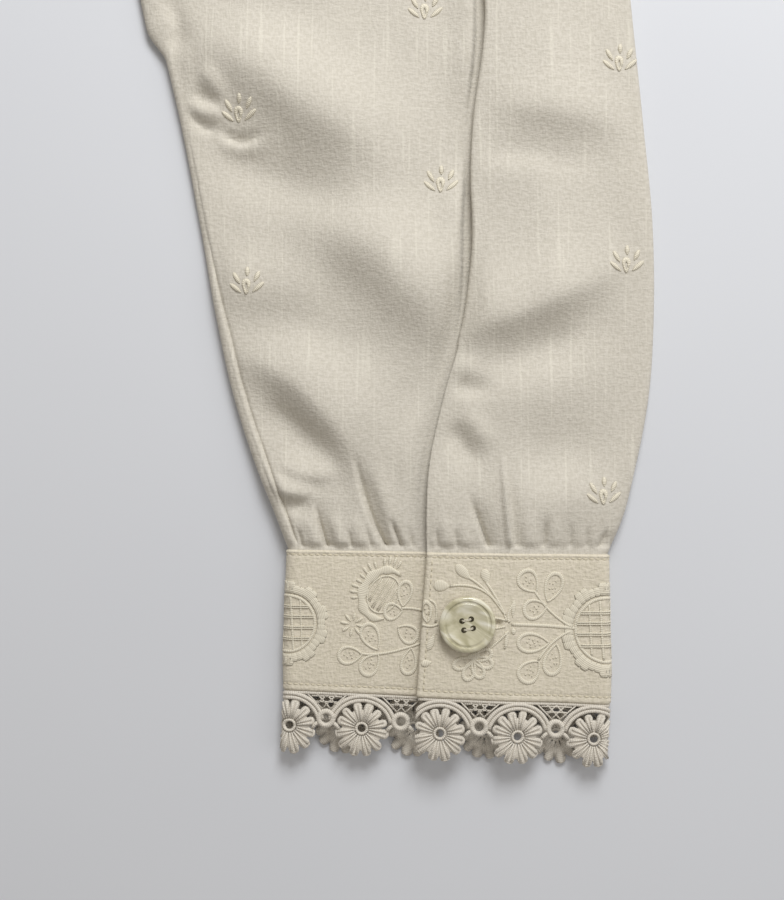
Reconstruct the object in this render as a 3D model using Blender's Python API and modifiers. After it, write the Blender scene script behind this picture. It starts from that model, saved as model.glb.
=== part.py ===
"""An embroidered folk shirt of cream linen, laid flat with its back upward.

The shirt is a pullover blouse: a front and a back panel, two long sleeves gathered into
buttoned cuffs, a lace edging below each cuff and a narrow neckband in two pieces.  It lies
on the plane z = 0 with its hem towards -Y.  Sizes are in millimetres up to the moment when
a mesh is made.  Each cloth piece is a middle surface, lofted through sections, that a
Solidify modifier makes into a wall.

A sleeve is described in its own plane: "across" runs over the flattened tube from the
underarm fold, "up" runs from the cuff to the armhole.  The cuff opens on a slit, and the
edge over the slit runs on up the sleeve as a pleat that opens out below the armhole.
"""
import math
from collections import namedtuple

import bmesh
import bpy
import numpy as np

METRE = 0.001
GAP = 0.3
COLLECTION = "embroidered_shirt"

# Walls
CLOTH_WALL = 1.0
CUFF_WALL = 2.2
LACE_WALL = 1.2

# Body panels, from the centre line and the hem
HEM_HALF = 255.0
UNDERARM = (245.0, 400.0)
SHOULDER = (228.0, 590.0)
NECK_HALF = 120.0
NECK_TOP = 630.0
BACK_NECK_DROP = 30.0
FRONT_NECK_DROP = 150.0
NECKBAND_WIDTH = 10.0
ARMHOLE_BOW = 12.0
SHOULDER_RUN = math.hypot(SHOULDER[0] - NECK_HALF, NECK_TOP - SHOULDER[1])
SHOULDER_LINE = ((SHOULDER[0] - NECK_HALF) / SHOULDER_RUN, (NECK_TOP - SHOULDER[1]) / SHOULDER_RUN)
BODY_MIDDLE = (NECK_TOP + NECKBAND_WIDTH * SHOULDER_LINE[1]) / 2
SIDE_ROWS = 7
ARMHOLE_ROWS = 9
NECK_COLUMNS = 7
SHOULDER_COLUMNS = 4

# The back panel's middle height at its seams and inside them
SEAM_HEIGHT = 1.5 * CLOTH_WALL + GAP
BACK_HEIGHT = 2.8
BACK_EDGE = 45.0

# How the sleeve lies: the angle of its own plane, and where its underarm point falls
SLEEVE_TURN = math.radians(35.0)

Row = namedtuple("Row", "up left right right_up fold overlap single under over")

# Sleeve sections.  up and right_up: heights of the underarm and outer folds above the cuff;
# left and right: the folds' places beside the cuff's middle; fold: the pleat edge's distance
# from the underarm fold; overlap: the pleat's width, below zero where it has opened out;
# single, under and over: middle heights of the top layer alone, below and above the pleat.
SLEEVE = (
    Row(0.0, -51.4, 51.6, -1.6, 43.7, 27.0, 5.3, 5.3, 7.8),
    Row(10.0, -55.2, 56.2, 9.2, 47.4, 27.0, 5.1, 5.0, 7.6),
    Row(26.0, -61.6, 60.6, 25.7, 54.6, 26.0, 4.7, 4.2, 7.1),
    Row(50.0, -69.3, 65.2, 50.0, 67.4, 25.0, 4.1, 3.0, 6.2),
    Row(75.0, -74.8, 66.8, 75.0, 79.9, 24.0, 3.9, 2.4, 5.6),
    Row(106.0, -80.3, 66.4, 106.0, 86.8, 23.0, 3.8, 2.4, 5.6),
    Row(138.0, -86.4, 63.4, 138.0, 94.4, 22.0, 3.8, 2.4, 5.6),
    Row(177.0, -95.4, 59.4, 177.0, 105.9, 20.0, 3.8, 2.4, 5.6),
    Row(215.0, -102.0, 53.5, 236.0, 106.0, 14.0, 3.8, 2.4, 5.6),
    Row(245.0, -106.5, 46.0, 288.0, 105.0, 7.0, 3.8, 2.4, 5.5),
    Row(262.0, -109.5, 40.5, 318.0, 104.0, 3.5, 3.7, 2.4, 5.4),
    Row(280.0, -112.0, 34.0, 350.0, 103.0, -3.0, 3.6, 2.4, 5.2),
    Row(305.0, -116.0, 24.0, 395.0, 102.0, -8.0, 3.4, 2.3, 4.6),
    Row(342.0, -122.0, 3.0, 465.0, 102.0, -14.0, 2.7, 2.1, 3.2),
    Row(380.0, -128.0, -33.2, 545.2, 102.0, -20.0, SEAM_HEIGHT, SEAM_HEIGHT, SEAM_HEIGHT),
)
GATHERED_SECTIONS = (GAP, 5.0, 12.0, 22.0, 36.0)
PLAIN_SECTIONS = (49.0, 62.0, 75.0, 87.0, 99.0, 111.0, 124.0, 138.0, 152.0, 177.0,
                  215.0, 245.0, 262.0, 280.0, 305.0, 342.0, 380.0)
SLIT_TOP = 75.0

# Steps of a plain section: over the pleat, beside it, below, and on the underarm side
PLEAT_STEPS = 2
BESIDE_STEPS = 7
BELOW_STEPS = 9
UNDERARM_STEPS = 8
HIDDEN_STEPS = 3

# The pleat: how far its folded edge stands out, and the least width that has this nip
PLEAT_NIP = 0.9
PLEAT_FULL = 3.6
PLEAT_MARGIN = 3.0
PLEAT_SLOPE = 20.0

# Distances over which folds and gathers die out: at the tube's edges and by the pleat
EDGE_FADE = 14.0
OVER_FADE = 12.0
UNDER_FADE = 10.0
GATHER_FADE = 6.0

# Below a high fold the lower layer rises too, so that no hollow in the sleeve is higher
LARGEST_HOLLOW = 3.7

# Gathers into the cuff
LEFT_GATHERS = 7
RIGHT_GATHERS = 8
GATHER_HEIGHT = 1.1
GATHER_LENGTH = 70.0
SECTIONS_A_GATHER = 4

# The cuff and its lace
CUFF = (
    Row(0.0, -51.4, 51.6, -1.6, 43.7, 27.0, 5.3, 5.3, 7.8),
    Row(-45.3, -52.7, 52.3, -50.1, 41.7, 27.6, 5.3, 5.3, 7.8),
)
CUFF_SECTIONS = (0.0, -15.0, -30.0, -45.3)
LACE_REPEAT = 25.0
LACE_STEPS = 10
LACE_FIRST_FLOWER = 8.0
LACE_RING_DEPTH = 10.0
LACE_FLOWER_CENTRE = 11.2
LACE_FLOWER_HALF = 8.9
LACE_FLOWER_REACH = 11.2
LACE_LOBE = 1.6
LACE_LOBES = 3
LACE_ROWS = (0.0, 0.45, 1.0)

# The button, from the cuff's middle and its top edge
BUTTON_ACROSS = 6.1
BUTTON_UP = -21.8
BUTTON_RADIUS = 9.0
BUTTON_THICK = 3.0
BUTTON_DISH_RADIUS = 6.6
BUTTON_DISH = 0.9
BUTTON_SLOPE = 1.6
BUTTON_EDGE = 0.7
BUTTON_HOLE_RADIUS = 1.0
BUTTON_HOLE_OFFSET = 2.1
BUTTON_HOLE_TURN = math.radians(12.0)
BUTTON_STEPS = 24
HOLE_SIDES = 8

Fold = namedtuple("Fold", "from_across from_up to_across to_up half_width rise")

# The largest soft folds of a sleeve, beside the cuff's middle and above it
SLEEVE_FOLDS = (
    Fold(-66.0, 110.0, -2.0, 92.0, 11.0, 3.9),
    Fold(-62.0, 79.0, -4.0, 67.0, 8.0, -2.2),
    Fold(-58.0, 56.0, -16.0, 48.0, 9.0, 3.2),
    Fold(-56.0, 42.0, -36.0, 33.0, 5.0, -2.2),
    Fold(-31.0, 36.0, -25.0, 8.0, 3.5, -1.4),
    Fold(12.0, 82.0, 54.0, 95.0, 9.0, 3.2),
    Fold(14.0, 64.0, 54.0, 76.0, 8.0, -2.0),
    Fold(-64.0, 164.0, -18.0, 120.0, 10.0, 3.3),
    Fold(-72.0, 148.0, -40.0, 124.0, 7.0, -2.0),
    Fold(18.0, 151.0, 52.0, 156.0, 9.0, 2.2),
    Fold(20.0, 134.0, 56.0, 138.0, 8.0, -1.8),
    Fold(-94.0, 262.0, -44.0, 222.0, 12.0, 3.4),
    Fold(-100.0, 302.0, -46.0, 284.0, 11.0, -1.6),
    Fold(-92.0, 326.0, -50.0, 318.0, 12.0, 2.4),
    Fold(-86.0, 226.0, -50.0, 196.0, 9.0, -1.8),
    Fold(10.0, 322.0, 30.0, 262.0, 10.0, 2.4),
)

# The soft folds of the back panel, from the centre line and the hem
BACK_FOLDS = (
    Fold(214.0, 396.0, 78.0, 322.0, 17.0, 2.0),
    Fold(-210.0, 392.0, -88.0, 300.0, 18.0, 2.1),
    Fold(196.0, 352.0, 92.0, 262.0, 15.0, -1.4),
    Fold(-190.0, 340.0, -110.0, 240.0, 15.0, -1.3),
    Fold(26.0, 560.0, 34.0, 330.0, 20.0, 1.5),
    Fold(-58.0, 520.0, -40.0, 250.0, 20.0, 1.4),
    Fold(118.0, 230.0, 142.0, 30.0, 19.0, 1.7),
    Fold(-10.0, 300.0, -18.0, 24.0, 20.0, 1.6),
    Fold(-150.0, 220.0, -168.0, 22.0, 18.0, 1.7),
    Fold(66.0, 250.0, 74.0, 20.0, 16.0, -1.2),
    Fold(-92.0, 210.0, -96.0, 20.0, 16.0, -1.2),
    Fold(150.0, 520.0, 96.0, 440.0, 16.0, 1.5),
    Fold(-160.0, 524.0, -112.0, 452.0, 16.0, 1.5),
)

LINEN = ("linen", (0.62, 0.58, 0.50), 0.85)
CUFF_LINEN = ("cuff_linen", (0.55, 0.51, 0.42), 0.85)
LACE_COTTON = ("lace_cotton", (0.52, 0.48, 0.40), 0.8)
PEARL_SHELL = ("pearl_shell", (0.50, 0.47, 0.33), 0.3)


def smooth(value):
    """Ease a number from 0 to 1, flat at both ends."""
    value = min(max(value, 0.0), 1.0)
    return value * value * (3.0 - 2.0 * value)


def spaced(start, end, steps):
    """Evenly spaced numbers from start to end, both of them in."""
    return [start + (end - start) * i / steps for i in range(steps + 1)]


def section_at(table, up):
    """Read a table of sections at a height, as a smooth curve through its rows."""
    rows = sorted(table)
    ups = np.array([row.up for row in rows])
    values = np.array(rows)
    slopes = np.gradient(values, ups, axis=0)
    i = int(np.clip(np.searchsorted(ups, up, side="right") - 1, 0, len(ups) - 2))
    step = ups[i + 1] - ups[i]
    t = (up - ups[i]) / step
    end_weight = t * t * (3.0 - 2.0 * t)
    start_slope = t * (1.0 - t) ** 2 * step
    end_slope = t * t * (t - 1.0) * step
    mixed = values[i] * (1.0 - end_weight) + values[i + 1] * end_weight
    mixed += slopes[i] * start_slope + slopes[i + 1] * end_slope
    return Row(*mixed)


def relief(folds, across, up):
    """Add up the folds' heights at a point: each is a soft ridge or trough along a line."""
    total = 0.0
    for fold in folds:
        run = (fold.to_across - fold.from_across, fold.to_up - fold.from_up)
        along = (across - fold.from_across) * run[0] + (up - fold.from_up) * run[1]
        along = min(max(along / (run[0] ** 2 + run[1] ** 2), 0.0), 1.0)
        away = math.hypot(across - fold.from_across - along * run[0],
                          up - fold.from_up - along * run[1])
        total += fold.rise * math.exp(-((away / fold.half_width) ** 2))
    return total


def turn(edge, inward, low, high, rising):
    """The three points of a rounded fold between two layers, at heights low and high."""
    radius = (high - low) / 2
    points = []
    for degrees in (-45, 0, 45):
        angle = math.radians(degrees if rising else -degrees)
        across = edge + inward * radius * (1.0 - math.cos(angle))
        points.append((across, low + radius + radius * math.sin(angle)))
    return points


def tube_section(row, base, gathered, top_layer=None):
    """The middle line of a flattened tube's section, open at its slit.

    It runs from the upper edge of the slit over the top to the outer fold, back below to
    the underarm fold, and over the top again to the lower edge of the slit.  Each station
    is (mark, across, height): marks match between sections with unlike numbers of stations.
    top_layer(across, layer) gives what the folds and gathers add to a height.
    """
    width = math.hypot(row.right - row.left, row.right_up - row.up)
    pleat = max(row.overlap, 0.0)
    opened = min(row.overlap, 0.0)
    nip = pleat_nip(pleat)
    end_radius = (row.single - base) / 2
    over_start = row.fold + nip
    over_split = row.fold + max(pleat, PLEAT_MARGIN)
    over_end = width - end_radius
    under_split = row.fold + opened - PLEAT_MARGIN
    under_end = row.fold + row.overlap - nip
    stations = []

    if gathered:
        overs = spaced(over_start, over_end, RIGHT_GATHERS * SECTIONS_A_GATHER)
        unders = spaced(end_radius, under_split, LEFT_GATHERS * SECTIONS_A_GATHER)
    else:
        overs = spaced(over_start, over_split, PLEAT_STEPS)
        overs += spaced(over_split, over_end, BESIDE_STEPS)[1:]
        unders = spaced(end_radius, under_split, UNDERARM_STEPS)
    for across in overs:
        mark = np.interp(across, (over_start, over_split, over_end), (0.0, 1.0, 2.0))
        lower = smooth((across - over_split) / PLEAT_SLOPE)
        height = row.over - (row.over - row.single) * lower
        if top_layer:
            height = top_layer(across, "over", height)
        stations.append((float(mark), across, height))

    last = stations[-1][2]
    for i, (across, height) in enumerate(turn(width, -1, base, last, False)):
        stations.append((2.25 + 0.25 * i, across, height))
    for i, across in enumerate(spaced(over_end, end_radius, BELOW_STEPS)):
        height = base
        if top_layer:
            above = top_layer(across, "over" if across > row.fold else "under", row.single)
            height += max(above - base - CLOTH_WALL - LARGEST_HOLLOW, 0.0)
        stations.append((3.0 + i / BELOW_STEPS, across, height))
    first_height = row.single
    if top_layer:
        first_height = top_layer(end_radius, "under", row.single)
    for i, (across, height) in enumerate(turn(0.0, 1, base, first_height, True)):
        stations.append((4.25 + 0.25 * i, across, height))

    for across in unders:
        mark = np.interp(across, (end_radius, under_split), (5.0, 6.0))
        lower = smooth((across - under_split + PLEAT_SLOPE) / PLEAT_SLOPE)
        height = row.single + (row.under - row.single) * lower
        if top_layer:
            height = top_layer(across, "under", height)
        stations.append((float(mark), across, height))
    for i, across in enumerate(spaced(under_split, under_end, HIDDEN_STEPS)[1:]):
        stations.append((6.0 + (i + 1) / HIDDEN_STEPS, across, row.under))
    return stations


def pleat_nip(pleat):
    """How far a pleat's folded edge stands past the layers that it joins."""
    return PLEAT_NIP * min(pleat / PLEAT_FULL, 1.0)


def pleat_section(row):
    """The hidden layer of the pleat, from the lower slit edge's end back to the upper one."""
    pleat = max(row.overlap, 0.0)
    opened = min(row.overlap, 0.0)
    nip = pleat_nip(pleat)
    middle = row.under + 0.45 * (row.over - row.under)
    tilt = 0.06 * (row.over - row.under)
    places = (
        (row.fold + opened * 0.8 + pleat, (row.under + middle) / 2),
        (row.fold + opened * 0.6 + pleat - nip, middle - tilt),
        (row.fold + opened * 0.4 + nip, middle + tilt),
        (row.fold + opened * 0.2, (row.over + middle) / 2),
    )
    return [(7.2 + 0.2 * i, across, height) for i, (across, height) in enumerate(places)]


def sleeve_place(row, across, height):
    """Put a point of a sleeve's section in the shirt's frame, for the wearer's right arm."""
    width = math.hypot(row.right - row.left, row.right_up - row.up)
    share = across / width
    side = row.left + (row.right - row.left) * share
    up = row.up + (row.right_up - row.up) * share
    head = smooth((row.up - SLEEVE[-3].up) / (SLEEVE[-1].up - SLEEVE[-3].up))
    bow = ARMHOLE_BOW * head * 4.0 * share * (1.0 - share)
    along = ((row.right - row.left) / width, (row.right_up - row.up) / width)
    side -= bow * along[1]
    up += bow * along[0]
    cos = math.cos(SLEEVE_TURN)
    sin = math.sin(SLEEVE_TURN)
    root = SLEEVE[-1]
    from_root = (side - root.left, up - root.up)
    x = UNDERARM[0] + cos * from_root[0] - sin * from_root[1]
    y = UNDERARM[1] + sin * from_root[0] + cos * from_root[1]
    return (x + GAP * head, y - BODY_MIDDLE, height)


def sleeve_top_layer(row):
    """What folds and gathers do to the height of a sleeve's top layer in one section."""
    width = math.hypot(row.right - row.left, row.right_up - row.up)
    fade = smooth(1.0 - row.up / GATHER_LENGTH)
    split = row.fold + max(row.overlap, PLEAT_MARGIN)
    end_radius = (row.single - CLOTH_WALL / 2) / 2

    def height_at(across, layer, height):
        share = across / width
        side = row.left + (row.right - row.left) * share
        up = row.up + (row.right_up - row.up) * share
        edges = smooth(across / EDGE_FADE) * smooth((width - across) / EDGE_FADE)
        rise = relief(SLEEVE_FOLDS, side, up) * edges
        if layer == "over":
            clear = smooth((across - split) / OVER_FADE)
            if rise > 0.0:
                clear = 0.5 + 0.5 * clear
            waves = RIGHT_GATHERS * (across - row.fold) / (width - end_radius - row.fold)
        else:
            clear = smooth((row.fold - across) / UNDER_FADE)
            run = row.fold - PLEAT_MARGIN - end_radius
            waves = LEFT_GATHERS * (across - end_radius) / run
        gather = -GATHER_HEIGHT * fade * math.cos(2.0 * math.pi * waves)
        height += rise * clear
        height += gather * smooth(across / GATHER_FADE) * smooth((width - across) / GATHER_FADE)
        return max(height, SEAM_HEIGHT)

    return height_at


def stitch(mesh, lower, upper):
    """Join two rows of (mark, vertex) with faces: quads, or triangles between unlike rows."""
    if len(lower) == len(upper):
        for i in range(len(lower) - 1):
            mesh.faces.new((lower[i][1], lower[i + 1][1], upper[i + 1][1], upper[i][1]))
        return
    i = 0
    j = 0
    while i < len(lower) - 1 or j < len(upper) - 1:
        take_lower = j == len(upper) - 1
        if i < len(lower) - 1 and not take_lower:
            take_lower = lower[i + 1][0] <= upper[j + 1][0]
        if take_lower:
            mesh.faces.new((lower[i][1], lower[i + 1][1], upper[j][1]))
            i += 1
        else:
            mesh.faces.new((lower[i][1], upper[j + 1][1], upper[j][1]))
            j += 1


def add_row(mesh, stations, side):
    """Add one row of points, with x turned over for the left side, as (mark, vertex)."""
    row = []
    for mark, (x, y, z) in stations:
        row.append((mark, mesh.verts.new((side * x * METRE, y * METRE, z * METRE))))
    return row


def make_material(name, finish):
    """A Principled material for one piece."""
    _, colour, roughness = finish
    material = bpy.data.materials.new(name + "_" + finish[0])
    material.use_nodes = True
    shader = material.node_tree.nodes["Principled BSDF"]
    shader.inputs["Base Color"].default_value = (*colour, 1.0)
    shader.inputs["Roughness"].default_value = roughness
    shader.inputs["Metallic"].default_value = 0.0
    material.diffuse_color = (*colour, 1.0)
    return material


def finish_object(name, mesh, finish, collection):
    """Make an object of a bmesh, smooth and with its own material."""
    data = bpy.data.meshes.new(name)
    mesh.to_mesh(data)
    mesh.free()
    data.shade_smooth()
    data.materials.append(make_material(name, finish))
    piece = bpy.data.objects.new(name, data)
    collection.objects.link(piece)
    return piece


def add_wall(piece, thickness):
    """Give a middle surface its wall, half to each side."""
    wall = piece.modifiers.new("wall", "SOLIDIFY")
    wall.thickness = thickness * METRE
    wall.offset = 0.0
    wall.use_rim = True


def build_sleeve(name, side, collection):
    """A sleeve: a flattened tube from the cuff's gathers to the armhole, with its pleat."""
    mesh = bmesh.new()
    previous = None
    previous_pleat = None
    for up in GATHERED_SECTIONS + PLAIN_SECTIONS:
        row = section_at(SLEEVE, up)
        stations = tube_section(row, CLOTH_WALL / 2, up in GATHERED_SECTIONS,
                                sleeve_top_layer(row))
        placed = [(mark, sleeve_place(row, across, z)) for mark, across, z in stations]
        current = add_row(mesh, placed, side)
        pleat = None
        if up >= SLIT_TOP:
            hidden = [(mark, sleeve_place(row, across, z))
                      for mark, across, z in pleat_section(row)]
            pleat = [current[-1]] + add_row(mesh, hidden, side) + [current[0]]
        if previous:
            stitch(mesh, previous, current)
        if previous_pleat:
            stitch(mesh, previous_pleat, pleat)
        previous = current
        previous_pleat = pleat
    bmesh.ops.recalc_face_normals(mesh, faces=mesh.faces)
    piece = finish_object(name, mesh, LINEN, collection)
    add_wall(piece, CLOTH_WALL)
    return piece


def build_cuff(name, side, collection):
    """A cuff: a stiff band round the sleeve's end, its upper end lying over its lower one."""
    mesh = bmesh.new()
    previous = None
    for up in CUFF_SECTIONS:
        row = section_at(CUFF, up)
        stations = tube_section(row, CUFF_WALL / 2, False)
        placed = [(mark, sleeve_place(row, across, z)) for mark, across, z in stations]
        current = add_row(mesh, placed, side)
        if previous:
            stitch(mesh, previous, current)
        previous = current
    bmesh.ops.recalc_face_normals(mesh, faces=mesh.faces)
    piece = finish_object(name, mesh, CUFF_LINEN, collection)
    add_wall(piece, CUFF_WALL)
    return piece


def lace_depth(along):
    """How far the lace reaches below the cuff: round flowers between small rings."""
    beside = (along - LACE_FIRST_FLOWER + LACE_REPEAT / 2) % LACE_REPEAT - LACE_REPEAT / 2
    if abs(beside) >= LACE_FLOWER_HALF:
        return LACE_RING_DEPTH
    share = beside / LACE_FLOWER_HALF
    lobe = LACE_LOBE * (0.5 - 0.5 * math.cos(math.pi * (LACE_LOBES * share + 1.0)))
    reach = LACE_FLOWER_CENTRE + LACE_FLOWER_REACH * math.sqrt(1.0 - share * share)
    return max(reach - LACE_LOBE + lobe, LACE_RING_DEPTH)


def resample(points, spacing):
    """Points at even distances along a line of (across, height) points."""
    line = np.array(points)
    lengths = np.hypot(*np.diff(line, axis=0).T)
    total = np.concatenate(([0.0], np.cumsum(lengths)))
    count = int(total[-1] // spacing)
    even = np.arange(count + 1) * spacing
    return [(float(s), float(np.interp(s, total, line[:, 0])),
             float(np.interp(s, total, line[:, 1]))) for s in even]


def build_lace(name, side, collection):
    """The lace edging: a strip along the cuff's lower edge with a scalloped free edge."""
    mesh = bmesh.new()
    row = section_at(CUFF, CUFF[1].up)
    width = math.hypot(row.right - row.left, row.right_up - row.up)
    down = ((row.right_up - row.up) / width, -(row.right - row.left) / width)
    stations = tube_section(row, LACE_WALL / 2, False)
    line = resample([(across, z) for _, across, z in stations], LACE_REPEAT / LACE_STEPS)
    previous = None
    for share in LACE_ROWS:
        placed = []
        for along, across, height in line:
            depth = GAP + lace_depth(along) * share
            moved = row._replace(left=row.left + down[0] * depth,
                                 right=row.right + down[0] * depth,
                                 up=row.up + down[1] * depth,
                                 right_up=row.right_up + down[1] * depth)
            placed.append((along, sleeve_place(moved, across, height)))
        current = add_row(mesh, placed, side)
        if previous:
            stitch(mesh, previous, current)
        previous = current
    bmesh.ops.recalc_face_normals(mesh, faces=mesh.faces)
    piece = finish_object(name, mesh, LACE_COTTON, collection)
    add_wall(piece, LACE_WALL)
    return piece


def button_base():
    """The height of the button's underside, just above the cuff's upper end."""
    return CUFF[0].over + CUFF_WALL / 2 + GAP


def button_place(side):
    """The button's middle in the shirt's frame."""
    row = section_at(CUFF, BUTTON_UP)
    width = math.hypot(row.right - row.left, row.right_up - row.up)
    across = (BUTTON_ACROSS - row.left) / (row.right - row.left) * width
    x, y, _ = sleeve_place(row, across, 0.0)
    return (side * x * METRE, y * METRE, button_base() * METRE)


def build_button(name, side, collection, cutters):
    """A turned shell button with a raised rim, a dished middle and four holes."""
    edge = BUTTON_EDGE
    profile = (
        (0.0, BUTTON_THICK - BUTTON_DISH),
        (BUTTON_DISH_RADIUS - BUTTON_SLOPE, BUTTON_THICK - BUTTON_DISH),
        (BUTTON_DISH_RADIUS, BUTTON_THICK - edge / 4),
        ((BUTTON_DISH_RADIUS + BUTTON_RADIUS) / 2, BUTTON_THICK),
        (BUTTON_RADIUS - edge / 3, BUTTON_THICK - edge),
        (BUTTON_RADIUS, BUTTON_THICK / 2),
        (BUTTON_RADIUS - edge, edge / 2),
        (BUTTON_RADIUS - 3 * edge, 0.0),
        (0.0, 0.0),
    )
    mesh = bmesh.new()
    points = [mesh.verts.new((x * METRE, 0.0, z * METRE)) for x, z in profile]
    for first, second in zip(points, points[1:]):
        mesh.edges.new((first, second))
    piece = finish_object(name, mesh, PEARL_SHELL, collection)
    piece.location = button_place(side)
    screw = piece.modifiers.new("turned", "SCREW")
    screw.steps = BUTTON_STEPS
    screw.render_steps = BUTTON_STEPS
    screw.use_merge_vertices = True
    screw.merge_threshold = 0.00001
    screw.use_smooth_shade = True
    turned = SLEEVE_TURN * side + BUTTON_HOLE_TURN
    for i in range(4):
        angle = turned + math.radians(45 + 90 * i)
        offset = (math.cos(angle) * BUTTON_HOLE_OFFSET * METRE,
                  math.sin(angle) * BUTTON_HOLE_OFFSET * METRE)
        bpy.ops.mesh.primitive_cylinder_add(
            vertices=HOLE_SIDES, radius=BUTTON_HOLE_RADIUS * METRE,
            depth=3 * BUTTON_THICK * METRE,
            location=(piece.location[0] + offset[0], piece.location[1] + offset[1],
                      piece.location[2] + BUTTON_THICK / 2 * METRE))
        cutter = bpy.context.object
        cutter.name = f"{name}_hole_{i + 1}"
        for holder in list(cutter.users_collection):
            holder.objects.unlink(cutter)
        cutters.objects.link(cutter)
        cutter.hide_render = True
        cutter.display_type = "WIRE"
        hole = piece.modifiers.new(f"hole_{i + 1}", "BOOLEAN")
        hole.operation = "DIFFERENCE"
        hole.object = cutter
        hole.solver = "EXACT"
    return piece


def armhole(share):
    """A point on the armhole, from the underarm to the shoulder."""
    run = (SHOULDER[0] - UNDERARM[0], SHOULDER[1] - UNDERARM[1])
    length = math.hypot(*run)
    bow = ARMHOLE_BOW * 4.0 * share * (1.0 - share)
    return (UNDERARM[0] + run[0] * share - bow * run[1] / length,
            UNDERARM[1] + run[1] * share + bow * run[0] / length)


def neckline(share, drop):
    """A point on the neck edge, from 0 at the centre line to 1 at the shoulder."""
    return (NECK_HALF * share, NECK_TOP - drop * (1.0 - share * share))


def panel_side():
    """Points up a panel's outer edge: side seam, then armhole."""
    points = [(HEM_HALF + (UNDERARM[0] - HEM_HALF) * i / SIDE_ROWS,
               UNDERARM[1] * i / SIDE_ROWS) for i in range(SIDE_ROWS)]
    return points + [armhole(i / ARMHOLE_ROWS) for i in range(ARMHOLE_ROWS + 1)]


def panel_top(drop):
    """Points along a panel's upper edge: neck, then shoulder seam."""
    points = [neckline(i / NECK_COLUMNS, drop) for i in range(NECK_COLUMNS)]
    start = neckline(1.0, drop)
    for i in range(SHOULDER_COLUMNS + 1):
        share = i / SHOULDER_COLUMNS
        points.append((start[0] + (SHOULDER[0] - start[0]) * share,
                       start[1] + (SHOULDER[1] - start[1]) * share))
    return points


def panel_grid(drop):
    """Points over one half of a panel, spread between its four edges (a Coons patch)."""
    side = np.array(panel_side())
    top = np.array(panel_top(drop))
    rows = len(side) - 1
    columns = len(top) - 1
    hem = np.array([(HEM_HALF * c / columns, 0.0) for c in range(columns + 1)])
    centre = np.array([(0.0, top[0][1] * r / rows) for r in range(rows + 1)])
    grid = np.zeros((rows + 1, columns + 1, 2))
    for r in range(rows + 1):
        for c in range(columns + 1):
            v = r / rows
            h = c / columns
            between = (1 - v) * hem[c] + v * top[c] + (1 - h) * centre[r] + h * side[r]
            corners = ((1 - h) * (1 - v) * hem[0] + h * (1 - v) * hem[-1]
                       + (1 - h) * v * top[0] + h * v * top[-1])
            grid[r, c] = between - corners
    return grid


def distance_to_edge(point, edge):
    """The distance from a point to a line of points."""
    best = 1e9
    for start, end in zip(edge, edge[1:]):
        run = (end[0] - start[0], end[1] - start[1])
        along = (point[0] - start[0]) * run[0] + (point[1] - start[1]) * run[1]
        along = min(max(along / (run[0] ** 2 + run[1] ** 2), 0.0), 1.0)
        best = min(best, math.hypot(point[0] - start[0] - along * run[0],
                                    point[1] - start[1] - along * run[1]))
    return best


def build_panel(name, drop, folded, collection):
    """A body panel: flat on the ground, or raised in soft folds inside its seams."""
    grid = panel_grid(drop)
    edge = [(0.0, 0.0)] + panel_side() + panel_top(drop)[::-1][1:]
    mesh = bmesh.new()
    previous = None
    for points in grid:
        whole = [(-x, y) for x, y in points[:0:-1]] + [(x, y) for x, y in points]
        placed = []
        for x, y in whole:
            height = CLOTH_WALL / 2
            if folded:
                inside = smooth(distance_to_edge((abs(x), y), edge) / BACK_EDGE)
                height = SEAM_HEIGHT + (BACK_HEIGHT - SEAM_HEIGHT) * inside
                height += relief(BACK_FOLDS, x, y) * inside
                height = max(height, SEAM_HEIGHT)
            placed.append((0, (float(x), float(y) - BODY_MIDDLE, height)))
        current = add_row(mesh, placed, 1)
        if previous:
            stitch(mesh, previous, current)
        previous = current
    bmesh.ops.recalc_face_normals(mesh, faces=mesh.faces)
    piece = finish_object(name, mesh, LINEN, collection)
    add_wall(piece, CLOTH_WALL)
    return piece


def build_neckband(name, drop, height, collection):
    """Half of the neckband, from shoulder to shoulder along one panel's neck edge."""
    mesh = bmesh.new()
    inner = []
    outer = []
    for i in range(-NECK_COLUMNS, NECK_COLUMNS + 1):
        share = i / NECK_COLUMNS
        x, y = neckline(share, drop)
        slope = math.atan2(2.0 * drop * share, NECK_HALF)
        to_shoulder = abs(share) ** 3
        out_x = (-math.sin(slope) * (1.0 - to_shoulder)
                 - math.copysign(SHOULDER_LINE[0], share) * to_shoulder)
        out_y = math.cos(slope) * (1.0 - to_shoulder) + SHOULDER_LINE[1] * to_shoulder
        for row, far in ((inner, GAP), (outer, NECKBAND_WIDTH)):
            row.append((0, (x + out_x * far, y + out_y * far - BODY_MIDDLE, height)))
    stitch(mesh, add_row(mesh, inner, 1), add_row(mesh, outer, 1))
    bmesh.ops.recalc_face_normals(mesh, faces=mesh.faces)
    piece = finish_object(name, mesh, LINEN, collection)
    add_wall(piece, CLOTH_WALL)
    return piece


def clear_scene():
    """Remove every object, so that the script can be run again."""
    for item in list(bpy.data.objects):
        bpy.data.objects.remove(item, do_unlink=True)


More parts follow.
